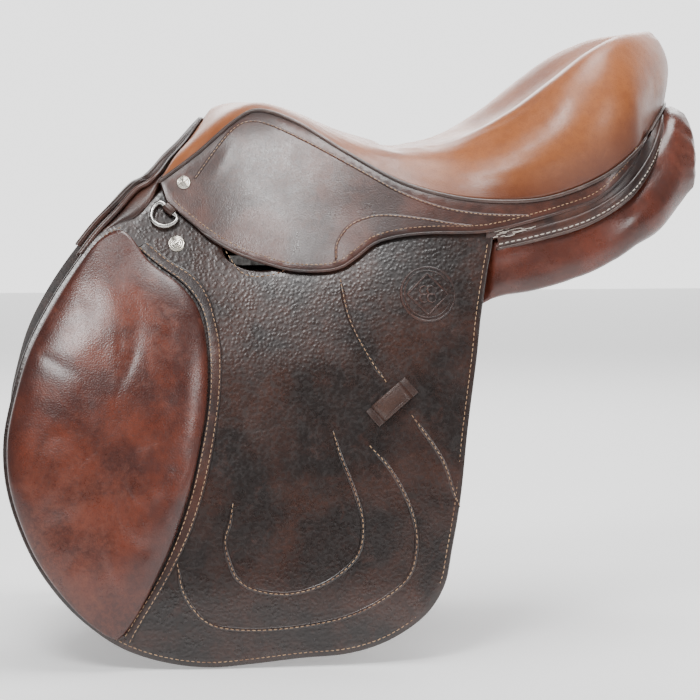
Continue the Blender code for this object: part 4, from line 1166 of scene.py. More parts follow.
@dataclass(frozen=True)
class Fold:
    """The line that a hanging sheet folds out along, as the places (x, z) of its ends."""

    first: Pair
    last: Pair
    reach: float

    def bend(self, obj: bpy.types.Object, hand: Hand, body: str) -> None:
        """Bake a sheet's placement into its mesh; the fold's direction is worked out, but the sheet is neither bent
        nor fixed to the body.

        Args:
            obj: the finished piece.
            hand: its side.
            body: the moving body's name without its ending.
        """
        ax, az = self.first
        bx, bz = self.last
        run = np.array([bx - ax, bz - az], float)
        run /= np.linalg.norm(run)
        down = np.array([run[1], -run[0]])
        if down[1] > 0:
            down = -down
        hand.name(body)
        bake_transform(obj)


def fit_piece(name: str, shape: Shape, finish: Finish, on: str | tuple[Fold, Hand, str] = "saddle",
              replaces: Sequence[str] = (), angle: Optional[float] = None,
              second: Optional[Finish] = None) -> None:
    """Build a piece, fix it to the frame and report it.

    Args:
        name: the piece's name.
        shape: its shape.
        finish: its finish.
        on: the body that carries it, or a fold with the piece's side and a body's name, which leaves the piece baked
            in place on no body.
        replaces: the frame's nodes that it stands for.
        angle: edges sharper than this many degrees are shown as edges.
        second: the finish of the shape's second slot.
    """
    obj = build_mesh(name, shape, [SHELF.get(f) for f in (finish, second) if f], angle=angle)
    if isinstance(on, tuple):
        on[0].bend(obj, *on[1:])
    else:
        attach(obj, on)
    if replaces:
        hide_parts(*replaces)
    LOG.info("%s: %d faces", name, len(obj.data.polygons))


# ---- the seat
@dataclass
class Seat:
    """The padded seat: tan cover, foam, the web below it and the piping round its seam."""

    spine: tuple[Triple, ...] = (
        (-170, 0, 87), (-164, 0, 95), (-150, 0, 99), (-130, 0, 98.5), (-100, 0, 89.5), (-62, 0, 72), (-24, 0, 63),
        (12, 0, 61), (50, 0, 65), (84, 0, 74), (118, 0, 91), (150, 0, 114), (178, 0, 137), (196, 0, 149),
        (205, 0, 153))
    rim: tuple[Triple, ...] = (
        (-188, 39, 65), (-168, 34, 84), (-151, 27, 94.5), (-130, 26, 98), (-100, 31, 89.5), (-58, 43, 72.5),
        (-17, 59, 61.5), (20, 72, 62), (52, 86, 72), (84, 99, 92), (118, 105, 119), (150, 95, 142), (182, 71, 156),
        (211, 35, 162), (225, 0, 163))
    seam: tuple[Pair, ...] = ((-213, 33), (-180, 57), (-151, 81.5), (-130, 92.5), (-100, 84), (-56, 57), (-13, 33),
                              (28, 21), (68, 17), (109, 20), (153, 36), (187, 59), (214, 84), (228, 97), (232, 101))
    rear_widths: tuple[float, ...] = (62.0, 30.0, 0.0)
    dish: tuple[float, ...] = (0, 0, 0, 0, 0, 1, 1, 0, -3, -6, -8, -7, -5, -3, -1)
    bulge: tuple[float, ...] = (0.10, 0.10, 0.12, 0.14, 0.14, 0.14, 0.15, 0.16, 0.18, 0.19, 0.20, 0.20, 0.20, 0.20,
                                0.20)
    leather: float = 2.5
    padding: float = 28.0
    rim_padding: float = 24.0
    seam_out: float = 7.0
    stuffing: Stuffing = Stuffing(cap=2.6, pressure=5.0, frames=14)
    across: tuple[float, ...] = (0.0, 0.3, 0.6, 0.8, 1.0)

    def seam_point(self, i: int, out: float) -> np.ndarray:
        """The seam at station i, on the far side of the middle plane."""
        x, z = self.seam[i]
        rear = i - (len(self.seam) - len(self.rear_widths))
        y = self.rear_widths[rear] if rear >= 0 else float(SIDE.half_width(x, z)) + out
        return np.array([x, y, z])

    def knots(self, i: int) -> np.ndarray:
        """The points of station i's cross-curve, from the spine to the seam."""
        spine, rim = np.array(self.spine[i], float), np.array(self.rim[i], float)
        seam = self.seam_point(i, self.seam_out)
        inner = (spine + rim) / 2 + np.array([0, 0, self.dish[i]])
        fall, middle = seam - rim, (rim + seam) / 2
        away = middle - np.array([100, 0, 55]) if i > 7 else np.array([0, 0.8, 0.6])
        away = away - fall * (away @ fall) / (fall @ fall)
        if i == len(self.spine) - 1:
            away[1] = 0
        bulge = middle + away / np.linalg.norm(away) * np.linalg.norm(fall) * self.bulge[i]
        return np.array([spine, inner, rim, bulge, seam])

    def surface(self, rows: int, columns: int) -> np.ndarray:
        """The cover's upper surface over the near half, rows along it and columns from the spine to the seam."""
        v = np.linspace(0, 1, columns)
        lines = []
        for i in range(len(self.spine)):
            knots = self.knots(i)
            mirror = knots[1] * MIRROR
            if i < len(self.spine) - 1:
                line = through(np.vstack([mirror, knots]), (-0.3,) + self.across, v)
                line[0, 1] = 0
            else:
                line = through(knots, self.across, v)
                line[:, 1] = 0
            lines.append(line)
        grid = self.spread(np.array(lines), rows)
        for _ in range(int(0.008 * columns**2)):
            middle = (grid[:, 0] * 2 + grid[:, 1] + grid[:, 1] * MIRROR) / 4
            grid[:, 1:-1] = (grid[:, :-2] + grid[:, 1:-1] * 2 + grid[:, 2:]) / 4
            grid[:, 0] = middle
        return self.on_near_side(grid)

    def spread(self, lines: np.ndarray, rows: int) -> np.ndarray:
        """The stations' cross-curves as a smooth grid of so many rows, spread evenly along the seat."""
        count, columns = lines.shape[:2]
        along = run_length(lines[:, columns // 2])
        at = np.linspace(0, along[-1], rows)
        return through(lines.reshape(count, -1), along, at).reshape(rows, columns, 3)

    def on_near_side(self, grid: np.ndarray) -> np.ndarray:
        """The grid kept to the near side, with its spine and its last row on the middle plane."""
        grid[:, 0, 1] = 0
        grid[-1, :, 1] = 0
        grid[:, :, 1] = -np.abs(grid[:, :, 1])
        return grid

    def lowered(self, grid: np.ndarray, depth: float) -> np.ndarray:
        """The grid moved inward by depth, square to itself."""
        along = np.gradient(grid, axis=0)
        across = np.gradient(grid, axis=1)
        across[:, 0] = (grid[:, 1] - grid[:, 1] * MIRROR) / 2
        along[-1] = np.array([0.0, 1.0, 0.0])
        normal = np.cross(along, across)
        if normal[..., 2].sum() < 0:
            normal = -normal
        normal[:, 0, 1] = 0
        normal[-1, :, 1] = 0
        normal[:, -1, 2] = 0
        normal /= np.linalg.norm(normal, axis=2)[..., None] + 1e-9
        return grid - normal * depth

    def floor(self, rows: int, columns: int, widest: float = 1.0) -> np.ndarray:
        """The seat's floor over the near half: the tree's upper side."""
        v = np.linspace(0, widest, columns)
        lines = []
        for k in range(len(self.spine)):
            spine = np.array(self.spine[k], float) - np.array([0, 0, self.padding])
            rim = np.array(self.rim[k], float)
            rim = np.array([rim[0] - (8 if k > 10 else 0), rim[1] * 0.93, rim[2] - self.rim_padding])
            seam = self.seam_point(k, 0)
            seam = np.array([seam[0] - (4 if k > 11 else 0), max(seam[1] - 5, 0), seam[2] + 1])
            lines.append([spine + (rim - spine) * s / 0.6 if s <= 0.6 else rim + (seam - rim) * (s - 0.6) / 0.4
                          for s in v])
        return self.on_near_side(self.spread(np.array(lines), rows))

    def shell(self, top: np.ndarray, bottom: np.ndarray, marks: Optional[dict[str, np.ndarray]] = None,
              rear: bool = False) -> Shape:
        """The closed shape between two grids over the near half, joined to its mirror.

        Args:
            top: the upper grid.
            bottom: the lower grid.
            marks: values carried by the grids' points.
            rear: whether the last row is an edge of its own, and not on the middle plane.

        Returns:
            The closed shape.
        """
        rows, columns = top.shape[:2]
        count = rows * columns
        faces = grid_faces(rows, columns) + [tuple(reversed(f)) for f in grid_faces(rows, columns, count)]
        for i in range(rows - 1):
            a, b = i * columns + columns - 1, (i + 1) * columns + columns - 1
            faces.append((a, b, b + count, a + count))
        for j in range(columns - 1):
            faces.append((j + 1, j, j + count, j + 1 + count))
            if rear:
                last = (rows - 1) * columns + j
                faces.append((last, last + 1, last + 1 + count, last + count))
        points = np.vstack([top.reshape(-1, 3), bottom.reshape(-1, 3)])
        doubled = {k: np.concatenate([v.reshape(-1), v.reshape(-1)]) for k, v in (marks or {}).items()}
        return merged(both_halves(Shape(points, faces, doubled)), 0.01)

    def swollen(self, rows: int, columns: int) -> np.ndarray:
        """The cover's surface after its leather is drawn over the foam."""
        fine = self.surface(rows, columns)
        m, n = 46, 17
        coarse, base = self.surface(m, n), self.floor(m, n)
        body = self.shell(coarse, base)
        u, v = np.meshgrid(np.linspace(0, 1, m), np.linspace(0, 1, n), indexing="ij")
        tree = KDTree(len(body.points))
        for i, p in enumerate(body.points):
            tree.insert(Vector(p), i)
        tree.balance()
        index = np.array([[tree.find(Vector(p))[1] for p in row] for row in coarse])
        free = np.zeros(len(body.points))
        free[index.reshape(-1)] = np.clip(np.minimum((1 - v) / 0.16, u / 0.06), 0, 1).reshape(-1)
        free[index[:, -1]] = 0
        mirror = np.array([tree.find(Vector((p[0], -p[1], p[2])))[1] for p in body.points])
        free = np.maximum(free, free[mirror])
        done = self.stuffing.swell(body, (free <= 0).astype(float), free)
        shift = (done.points - body.points)
        shift = (shift + shift[mirror] * MIRROR) / 2
        moves = shift[index]
        moves[:, 0, 1] = 0
        moves[-1, :, 1] = 0
        out = fine.copy()
        fu, fv = np.linspace(0, m - 1, rows), np.linspace(0, n - 1, columns)
        iu, iv = np.clip(fu.astype(int), 0, m - 2), np.clip(fv.astype(int), 0, n - 2)
        tu, tv = ease(fu - iu)[:, None, None], ease(fv - iv)[None, :, None]
        a, b = moves[iu][:, iv], moves[iu + 1][:, iv]
        c, d = moves[iu][:, iv + 1], moves[iu + 1][:, iv + 1]
        out += (a * (1 - tu) + b * tu) * (1 - tv) + (c * (1 - tu) + d * tu) * tv
        return out

    def build(self) -> None:
        """Build and dress every piece of the seat."""
        rows, columns = 150, 61
        top = self.swollen(rows, columns)
        u, v = np.meshgrid(np.linspace(0, 1, rows), np.linspace(0, 1, columns), indexing="ij")
        # painted shade along the cover's lower edge by the seam, where it rolls under, over a darker dye there;
        # stronger towards the cantle
        dark = ease((v - 0.80) / 0.22) * (0.35 + 0.6 * ease((u - 0.3) / 0.4))
        wear_and_highlight = ease((v - 0.35) / 0.2) * ease((0.72 - v) / 0.15) * ease((u - 0.80) / 0.1) * 0.35
        cover = self.shell(top, self.lowered(top, self.leather), {"shade_tone": dark, "wear_and_highlight": wear_and_highlight})
        fit_piece("seat_leather", cover, Finish.SEAT, replaces=("seat_cover",))

        m, n = 100, 41
        inner = self.lowered(self.read_at(top, m, n), self.leather + 2.2)
        keep = n - 5
        foam = self.shell(inner[:, :keep], self.floor(m, n)[:, :keep])
        fit_piece("seat_padding", foam, Finish.FOAM, replaces=("seat_foam",))

        band = self.floor(90, 37, 0.6)[12:66, :28]
        low, high = band - [0, 0, 2.0], band - [0, 0, 0.8]
        high[..., 2] += 0.175 * np.sin(np.arange(band.shape[1]) * 0.9)
        fit_piece("seat_web", self.shell(high, low, rear=True), Finish.WEB, replaces=("seat_webbing",))

        edge = top[:, -1]
        spare = edge[1:-1] * MIRROR
        path = np.vstack([edge, spare[::-1]])
        path = resample(path, 3.0)
        path[:, 2] -= 0.6
        out = path.copy()
        out[:, 0] -= 60
        out[:, 2] = 0
        out /= np.linalg.norm(out, axis=1)[:, None]
        piping = swept(path + out * 0.3, round_profile(1.75, 10), round_ends=True)
        fit_piece("seat_piping", piping, Finish.PIPING)

    def read_at(self, top: np.ndarray, rows: int, columns: int) -> np.ndarray:
        """The fine surface read at fewer rows and columns."""
        iu = np.round(np.linspace(0, top.shape[0] - 1, rows)).astype(int)
        iv = np.round(np.linspace(0, top.shape[1] - 1, columns)).astype(int)
        return top[iu][:, iv]


# ---- the panels
@dataclass
class Panels:
    """The two flocked panels that sit on the horse, the channel lining between them and the welt at the back."""

    sections: tuple[tuple, ...] = (
        (-246, (56, -6), (61, -6), (66, -10), (72, -34), (75, -58), (69, -60), (60, -40)),
        (-225, (47, 12), (53, 9), (58, 0), (78, -52), (94, -110), (79, -112), (56, -60)),
        (-196, (36, 26), (40, 22), (43, 8), (78, -60), (104, -150), (87, -150), (50, -60)),
        (-150, (32, 34), (37, 30), (44, 12), (79, -64), (110, -165), (91, -165), (42, -30)),
        (-105, (29, 22), (37, 20), (52, 3), (92, -62), (112, -135), (90, -120), (38, -25)),
        (-60, (28, 9), (45, 8), (74, -2), (101, -52), (114, -105), (84, -85), (36, -30)),
        (-10, (28, 1), (52, 2), (90, -8), (107, -50), (118, -90), (84, -70), (34, -40)),
        (40, (28, 1), (56, 2), (100, -10), (111, -44), (119, -78), (86, -60), (34, -42)),
        (66, (28, 3), (60, 4), (123, -16), (133, -38), (131, -64), (90, -58), (34, -40)),
        (97, (29, 10), (66, 8), (128, -12), (136, -34), (133, -58), (92, -52), (34, -32)),
        (136, (30, 26), (70, 22), (129, 0), (138, -22), (134, -46), (92, -40), (34, -16)),
        (163, (30, 42), (70, 36), (123, 14), (135, -9), (131, -34), (90, -26), (34, 2)),
        (187, (30, 56), (66, 50), (110, 28), (127, 5), (122, -20), (86, -10), (34, 18)),
        (209, (30, 74), (60, 68), (90, 50), (112, 21), (108, -8), (78, 4), (34, 34)),
        (230, (30, 93), (52, 88), (76, 70), (92, 40), (87, 11), (66, 22), (36, 50)),
        (246, (40, 88), (53, 83), (67, 68), (76, 46), (73, 27), (58, 34), (46, 56)))
    roof: tuple[Pair, ...] = ((-150, 33), (-105, 21), (-60, 8), (-10, 0), (40, 0), (66, 2), (97, 9), (136, 25),
                              (163, 41), (187, 55), (209, 67), (224, 74))
    roof_half: float = 27.2
    lining: float = 2.5
    welt: tuple[Triple, ...] = ((66, 132, -17), (97, 135, -10), (136, 136, 1), (163, 131, 14), (184, 121, 29),
                                (206, 95, 54), (222, 58, 80), (234, 0, 92))
    welt_height: float = 10.0
    welt_depth: float = 3.5
    stations: int = 84
    per: int = 5
    stuffing: Stuffing = Stuffing(cap=3.0, pressure=4.0, frames=14)
    stitches: Stitching = Stitching(length=3.4, pitch=5.0, radius=0.55, proud=0.5)

    def panel(self) -> Shape:
        """The near side's panel, closed at both ends, creased where its leather gathers."""
        rings = []
        for _, *loop in self.sections:
            rings.append(dense(loop, closed=True, per=self.per))
        xs = [row[0] for row in self.sections]
        lines = np.array(rings)
        count = lines.shape[1]
        at = np.linspace(xs[0], xs[-1], self.stations)
        sections = through(lines.reshape(len(xs), -1), xs, at).reshape(self.stations, count, 2)
        rows = [np.stack([np.full(count, x), -ring[:, 0], ring[:, 1]], axis=1) for x, ring in zip(at, sections)]

        def ends(row: np.ndarray, push: float) -> list[np.ndarray]:
            middle = row.mean(axis=0)
            return [middle + (row - middle) * s + np.array([push * p, 0, 0])
                    for s, p in ((0.86, 0.45), (0.62, 0.78), (0.3, 0.95))]

        first, last = ends(rows[0], -4.5), ends(rows[-1], 4.5)
        rows = first[::-1] + rows + last
        points = np.vstack(rows + [rows[0].mean(axis=0)[None], rows[-1].mean(axis=0)[None]])
        total = len(rows)
        faces = grid_faces(total, count, round_columns=True)
        tail = total * count
        for k in range(count):
            faces.append(((k + 1) % count, k, tail))
            faces.append((tail - count + k, tail - count + (k + 1) % count, tail + 1))
        shape = Shape(points, faces)
        x = points[:, 0]
        free = 0.35 + 0.65 * ease((x - 40) / 50)
        free[np.abs(points[:, 1]) < 40] *= 0.4
        shape = self.stuffing.swell(shape, np.zeros(len(points)), free)
        normals = point_normals(shape)
        gather = ease((x - 205) / 30) * ease((points[:, 2] - 5) / 30)
        angle = np.arctan2(points[:, 2] - 30, -points[:, 1] - 60)
        waves = (np.sin(angle * 17 + x * 0.05) + 0.6 * np.sin(angle * 29 + 1.3)) * 0.55
        moved = shape.points + normals * (waves * gather)[:, None]
        moved = crumple(moved, normals, 26.0, 0.55, (2.2, 1, 0.8), 0.35 + 0.65 * ease((x - 60) / 60), seed=3.1)
        # painted shade: the panel darker on its lower, downward-facing part towards the back
        shade_tone = ease((-points[:, 2] - 30) / 60) * 0.3 * ease((x - 40) / 40)
        # the gathered end is marked lighter in patches
        return Shape(moved, faces, {"shade_tone": shade_tone, "wear_and_highlight": gather * 0.15})

    def facing(self) -> None:
        """Build the leather facing between the skirts' tails and the welt, right round the cantle."""
        tail = [(56, -5), (92, 3.5), (124, 12.5), (151, 23), (180, 47), (196, 68)]
        high = [tuple(p) for p in SIDE.lay(np.array(tail), 3.2)] + [(208, -74, 76), (221, -36, 90), (227, 0, 96)]
        low = [(x - 1.5, -y + 2.5, z + 2.0) for x, y, z in self.welt[:-1]]
        low = [(56, low[0][1], low[0][2] - 1.5)] + low + [(231, 0, 94)]
        edges = [over_middle(dense(line, per=10)) for line in (high, low)]
        fit_piece("cantle_facing", ribbon(*edges, 2.4, rows=150, bulge=1.2), Finish.EDGE)

    def welt_path(self) -> np.ndarray:
        """The welt's line, from the near side round the back to the off side."""
        return resample(over_middle(dense(self.welt, per=10) * MIRROR), 4.0)

    def build(self) -> None:
        """Build and dress the panels and what is sewn to them."""
        near = self.panel()
        for hand in Hand:
            fit_piece(hand.name("flocked_panel"), near.on(hand), Finish.PANEL,
                      replaces=(hand.name("panel"),))

        line = dense([(x, 0, z) for x, z in self.roof], per=6)
        rows = []
        for x, _, z in line:
            rows.append([(x, y, z + 1.3 * (1 - (y / self.roof_half) ** 2)) for y in
                         np.linspace(-self.roof_half, self.roof_half, 13)])
        under = np.array(rows)
        fit_piece("channel_lining", slab(under + [0, 0, self.lining], under), Finish.PANEL,
                  replaces=("gullet_roof",), angle=60)
        seams = [swept(np.array([(x, s * (self.roof_half - 0.4), z + 0.2) for x, _, z in line]),
                       round_profile(1.5, 8), round_ends=True) for s in (-1, 1)]
        fit_piece("channel_piping", seams[0].joined(seams[1]), Finish.EDGE)

        self.facing()
        path = self.welt_path()
        half, deep = self.welt_height / 2, self.welt_depth
        profile = [(0, -half + 1.2), (0.45, 0), (0, half - 1.2), (-0.9, half), (-deep + 0.6, half),
                   (-deep, half - 0.8), (-deep, -half + 0.8), (-deep + 0.6, -half), (-0.9, -half)]
        fit_piece("rear_welt", swept(path, profile, up=(0, 0, 1)), Finish.EDGE,
                  replaces=("panel_welt",), angle=70)
        out = path.copy()
        out[:, 2] = 0
        out[:, 0] -= 40
        out /= np.linalg.norm(out, axis=1)[:, None]
        bead = swept(path + out * -0.6 - [0, 0, half + 0.9], round_profile(1.5, 8), round_ends=True)
        fit_piece("rear_welt_piping", bead, Finish.PIPING)
        fit_piece("rear_welt_stitches", self.stitches.along(path - [0, 0, 2.2], out), Finish.PALE_THREAD)


# ---- the flaps
@dataclass
class Flaps:
    """The flaps with their knee pads, seams, sewn lines, stamped mark and keeper."""

    front: tuple[Pair, ...] = ((-247, -1), (-263, -9), (-280, -28), (-305, -64), (-326, -104), (-338, -144),
                               (-344, -175), (-343, -207), (-335, -239), (-319, -275), (-295, -308), (-267, -333),
                               (-243, -347))
    foot: tuple[Pair, ...] = ((-211, -357), (-178, -361), (-145, -359), (-104, -355), (-63, -352), (-30, -342),
                              (0, -322), (16, -298), (22.5, -269), (30, -228), (37, -171), (46, -110))
    rear: tuple[Pair, ...] = ((50, -78), (57, -40), (62, -14))
    top: tuple[Pair, ...] = ((60, 4), (30, 6), (0, 6), (-60, 10), (-120, 20), (-180, 30), (-209, 27), (-222, 15),
                             (-234, 3))
    bar_slot: tuple[Pair, ...] = ((-160, -19), (-98, -19), (-98, -30), (-106, -36), (-120, -40.5), (-138, -41),
                                  (-150, -37), (-160, -29))
    pad_rear: tuple[Pair, ...] = ((-244, -8), (-222, -34), (-198, -52), (-183, -73), (-177, -105), (-178, -145),
                                  (-185, -185), (-198, -233), (-218, -281), (-251, -335))
    pad_front: tuple[Pair, ...] = ((-269, -328), (-294, -304), (-317, -272), (-332, -238), (-340, -207),
                                   (-341, -175), (-335, -144), (-323, -105), (-302, -66), (-277, -30), (-261, -13))
    seam: tuple[Pair, ...] = ((-233, -22), (-216, -36), (-194.5, -52.5), (-180.5, -73), (-175.5, -105),
                              (-176.5, -145), (-183.5, -185), (-196.5, -233.5), (-216.7, -282), (-248, -333))
    seam_back: tuple[Pair, ...] = ((-243, -341), (-235, -326), (-213, -290), (-192, -249), (-177, -201),
                                   (-167, -145), (-165, -105), (-169, -80), (-176, -57), (-188, -43), (-204, -33.5),
                                   (-224, -17))
    hang_line: tuple[Pair, ...] = ((-65.3, -47), (-58.2, -81.2), (-41.1, -115.2), (-29.2, -132.3))
    hang_line_low: tuple[Pair, ...] = ((-10, -157.6), (15, -194.4), (24.9, -223.1), (29.3, -233.8))
    outer_bow: tuple[Pair, ...] = ((-45.2, -182.5), (-29.9, -199.6), (-15.4, -225), (-7.5, -249.5), (-7.7, -270.8),
                                   (-13.7, -289.5), (-31.3, -305.5), (-58.7, -319.6), (-90.2, -327.1),
                                   (-132.1, -331.1), (-168.1, -328.7), (-184.3, -321), (-198.8, -300.4),
                                   (-204.2, -275.4))
    inner_bow: tuple[Pair, ...] = ((-74.6, -170.9), (-69.3, -189.5), (-57.5, -220.4), (-51.3, -244.8),
                                   (-54.1, -267.5), (-65, -281.9), (-85.8, -295.3), (-113, -302.1), (-138.4, -299.1),
                                   (-154.6, -289.9), (-162.6, -272.1), (-164.8, -257.6), (-160.5, -243.1),
                                   (-157.9, -227.9))
    half_moon: tuple[Pair, ...] = ((-159.5, -24.4), (-150, -39.1), (-141.9, -44.8), (-129.5, -45.6), (-114.4, -42.4),
                                   (-106, -37.5))
    fold: Fold = Fold((-268, -14), (54, -102), 7.0)
    half: float = 1.9
    pad_centre: Pair = (-262, -178)
    pad_edge: float = 4.0
    pad_crown: float = 18.0
    pad_seat: float = 1.0
    keeper_middle: Pair = (-25.5, -148)
    keeper_run: Pair = (0.762, 0.647)
    mark_middle: Pair = (6.5, -60)
    mark_radius: float = 22.0
    stitches: Stitching = Stitching(length=2.9, pitch=4.4, radius=0.36, proud=0.16)
    seam_stitches: Stitching = Stitching(length=2.9, pitch=4.4, radius=0.36, proud=0.1)
    stuffing: Stuffing = Stuffing(cap=3.2, pressure=4.0, frames=16)

    def outline(self) -> np.ndarray:
        """The flap's cut edge, all round."""
        return smooth_line(self.front + self.foot + self.rear + self.top, 4.2, closed=True)

    def sheet(self) -> Shape:
        """The near flap, with its slot for the stirrup bar and a soft ripple in the leather."""
        loop = self.outline()
        slot = smooth_line(self.bar_slot, 3.4, closed=True)

        def out(x: float, z: float) -> float:
            loose = ease((-z - 60) / 120) * ease((x + 160) / 60)
            return self.half + 0.8 * loose * noise.noise(Vector((x / 70, z / 70, 0.3)))

        return Sheet(loop, -self.half, out, spacing=6.0, edge=1.3, holes=[slot], rim_reach=7.0).shape()

    def pad(self) -> Shape:
        """The near knee pad: a stuffed cushion, drawn tight over its filling and creased with use."""
        loop = smooth_line(self.pad_rear + self.pad_front, 4.6, closed=True)
        centre, count = np.array(self.pad_centre, float), len(loop)
        shares = [1.0, 0.985, 0.955, 0.915, 0.87, 0.82, 0.765, 0.705, 0.64, 0.57, 0.5, 0.425, 0.35, 0.27, 0.19, 0.1]
        points, shade_tone, free = [], [], []
        for upper in (False, True):
            for share in shares + [0.0]:
                flat = centre + (loop - centre) * share if share else centre[None]
                z = flat[:, 1]
                rise = math.sqrt(max(1 - share ** 2.6, 0)) * ease((-z + 10) / 90)
                rise = rise * (1 - 0.3 * ease((-z - 230) / 120))
                crown = self.pad_edge + (self.pad_crown - self.pad_edge) * rise
                out = self.half + (crown if upper else np.full(len(flat), self.pad_seat))
                points.append(SIDE.lay(flat, out))
                # painted shade on the cushion's sloping border where it turns down to the seam; the pad is also
                # darker towards its foot
                edge = max((share - 0.8) / 0.2, 0.0) ** 1.5
                shade_tone.append(np.full(len(flat), 0.55 * edge) + 0.3 * ease((-z - 250) / 90))
                free.append(np.full(len(flat), float(ease((1 - share) / 0.25)) if upper else 0.0))
        layer = len(shares) * count + 1
        faces = []
        for base in (0, layer):
            faces += grid_faces(len(shares), count, base, round_columns=True)
            last = base + (len(shares) - 1) * count
            faces += [(last + k, last + (k + 1) % count, base + layer - 1) for k in range(count)]
        faces += [(k, (k + 1) % count, layer + (k + 1) % count, layer + k) for k in range(count)]
        free, shade_tone = np.concatenate(free), np.clip(np.concatenate(shade_tone), 0, 1)
        shape = Shape(np.vstack(points), faces)
        shape = self.stuffing.swell(shape, (free <= 0).astype(float), free)
        upper = np.arange(len(shape.points)) >= layer
        normals = point_normals(shape)
        x, z = shape.points[:, 0], shape.points[:, 2]
        hollow = np.exp(-((x + 262) / 34) ** 2 - ((z + 210) / 46) ** 2) * 1.6
        hollow += np.exp(-((x + 300) / 26) ** 2 - ((z + 245) / 20) ** 2) * 1.2
        amount = upper * free
        moved = shape.points - normals * (hollow * amount)[:, None]
        moved = crumple(moved, normals, 36.0, 1.0, (1.0, 1.0, 1.6), amount, seed=8.4)
        moved = crumple(moved, normals, 13.0, 0.55, (0.8, 1.0, 1.9), amount * ease((-z - 120) / 110), seed=2.2)
        wear_and_highlight = 0.32 * ease((-z - 150) / 80) * ease((x + 338) / 20) * (1 - ease((x + 262) / 55))
        # painted highlight: a lighter patch on the pad's upper middle, in the same mark as the scuffed lower front
        # above
        wear_and_highlight += 0.25 * np.exp(-((x + 235) / 40) ** 2 - ((z + 90) / 50) ** 2)
        return Shape(moved, faces, {"shade_tone": shade_tone, "wear_and_highlight": wear_and_highlight})

    def keeper(self) -> Shape:
        """The near keeper, a raised loop that holds the stirrup leather's end."""
        origin, first, across, out = SIDE.axes(*self.keeper_middle, self.keeper_run, self.half, 0.4)
        half, rise, thick = 21.6, 5.4, 2.2
        plan = [(-half, 0.9), (-half + 3.5, 0.95), (-half + 6, 1.5), (-half + 8.2, rise - 0.6),
                (-half + 11, rise + 0.7), (0, rise + 1.4), (half - 11, rise + 0.7), (half - 8.2, rise - 0.6),
                (half - 6, 1.5), (half - 3.5, 0.95), (half, 0.9)]
        line = dense(plan, per=5)
        path = origin + line[:, :1] * first + line[:, 1:] * out
        profile = [(b, a) for a, b in strap_profile(17.0, thick, 0.8, -thick / 2)]
        strap = swept(path, profile, up=across)
        for share in (-1, 1):
            row = [(p, 6.3 * share) for p in np.linspace(-half + 9, half - 9, 14)]
            lifted = origin + np.array([[first * p + across * q + out * np.interp(p, line[:, 0], line[:, 1] + 1.15)]
                                        for p, q in row])[:, 0]
            cord = swept(lifted, round_profile(0.45, 6, 0.6), up=out)
            strap = strap.joined(cord)
        return strap

    def mark(self) -> Shape:
        """The near flap's stamped mark: a lozenge in a ring with a four-lobed flower."""
        cx, cz = self.mark_middle
        radius, out = self.mark_radius, self.half + 0.12

        def circle(r: float, x: float = cx, z: float = cz, count: int = 40) -> list[Pair]:
            return [(x + r * math.cos(2 * math.pi * k / count), z + r * math.sin(2 * math.pi * k / count))
                    for k in range(count + 1)]

        parts = [cord_on_side(circle(radius), out, 1.1, 0.6), cord_on_side(circle(radius - 2.9), out, 0.6, 0.7)]
        tip = radius - 5.2
        tips = [(cx + tip, cz), (cx, cz + tip), (cx - tip, cz), (cx, cz - tip), (cx + tip, cz)]
        parts.append(cord_on_side(tips, out, 0.95, 0.65, smooth=False))
        for turn in range(4):
            angle = math.pi / 2 * turn + math.pi / 4
            parts.append(cord_on_side(circle(3.7, cx + 4.4 * math.cos(angle), cz + 4.4 * math.sin(angle), 18), out,
                                      0.85, 0.65))
            dot = (cx + 14.2 * math.cos(angle), cz + 14.2 * math.sin(angle))
            parts.append(cord_on_side(circle(1.3, *dot, 8), out, 0.6, 0.8))
        return parts[0].joined(*parts[1:])

    def sewing(self) -> Shape:
        """The near flap's rows of thread: round its edge, round the slot and along the sewn lines."""
        edge = self.outline()
        inset = moved_in(edge, 4.4 * (1.0 if turning(edge) > 0 else -1.0))
        start = int(np.argmin(np.linalg.norm(inset - np.array([62, -14]), axis=1)))
        stop = int(np.argmin(np.linalg.norm(inset - np.array([-247, -6]), axis=1)))
        run = np.vstack([inset[stop:], inset[:start]]) if stop > start else inset[stop:start]
        row = self.stitches
        parts = [row.on_side(run, self.half, smooth=False)]
        for line in (self.hang_line, self.hang_line_low, self.outer_bow, self.inner_bow):
            parts.append(row.on_side(line, self.half + 0.7))
        parts.append(row.on_side(self.half_moon, self.half + 0.25))
        return parts[0].joined(*parts[1:])

    def ridges(self) -> Shape:
        """The near flap's raised lines beside the sewn ones."""
        parts = [cord_on_side(line, self.half - 0.1, 2.1, 0.42)
                 for line in (self.hang_line, self.hang_line_low, self.outer_bow, self.inner_bow)]
        return parts[0].joined(*parts[1:])

    def seam_rows(self) -> Shape:
        """The two rows of thread in the seam behind the near pad."""
        front = smooth_line(self.seam, 4.0)
        back = smooth_line(self.seam_back, 4.0)[::-1]
        count = len(front)
        back = np.stack([np.interp(np.linspace(0, 1, count), np.linspace(0, 1, len(back)), back[:, k])
                         for k in (0, 1)], axis=1)
        row = self.seam_stitches
        rows = [row.on_side(front + (back - front) * share, self.half + 1.9, smooth=False) for share in (0.16, 0.82)]
        return rows[0].joined(rows[1])

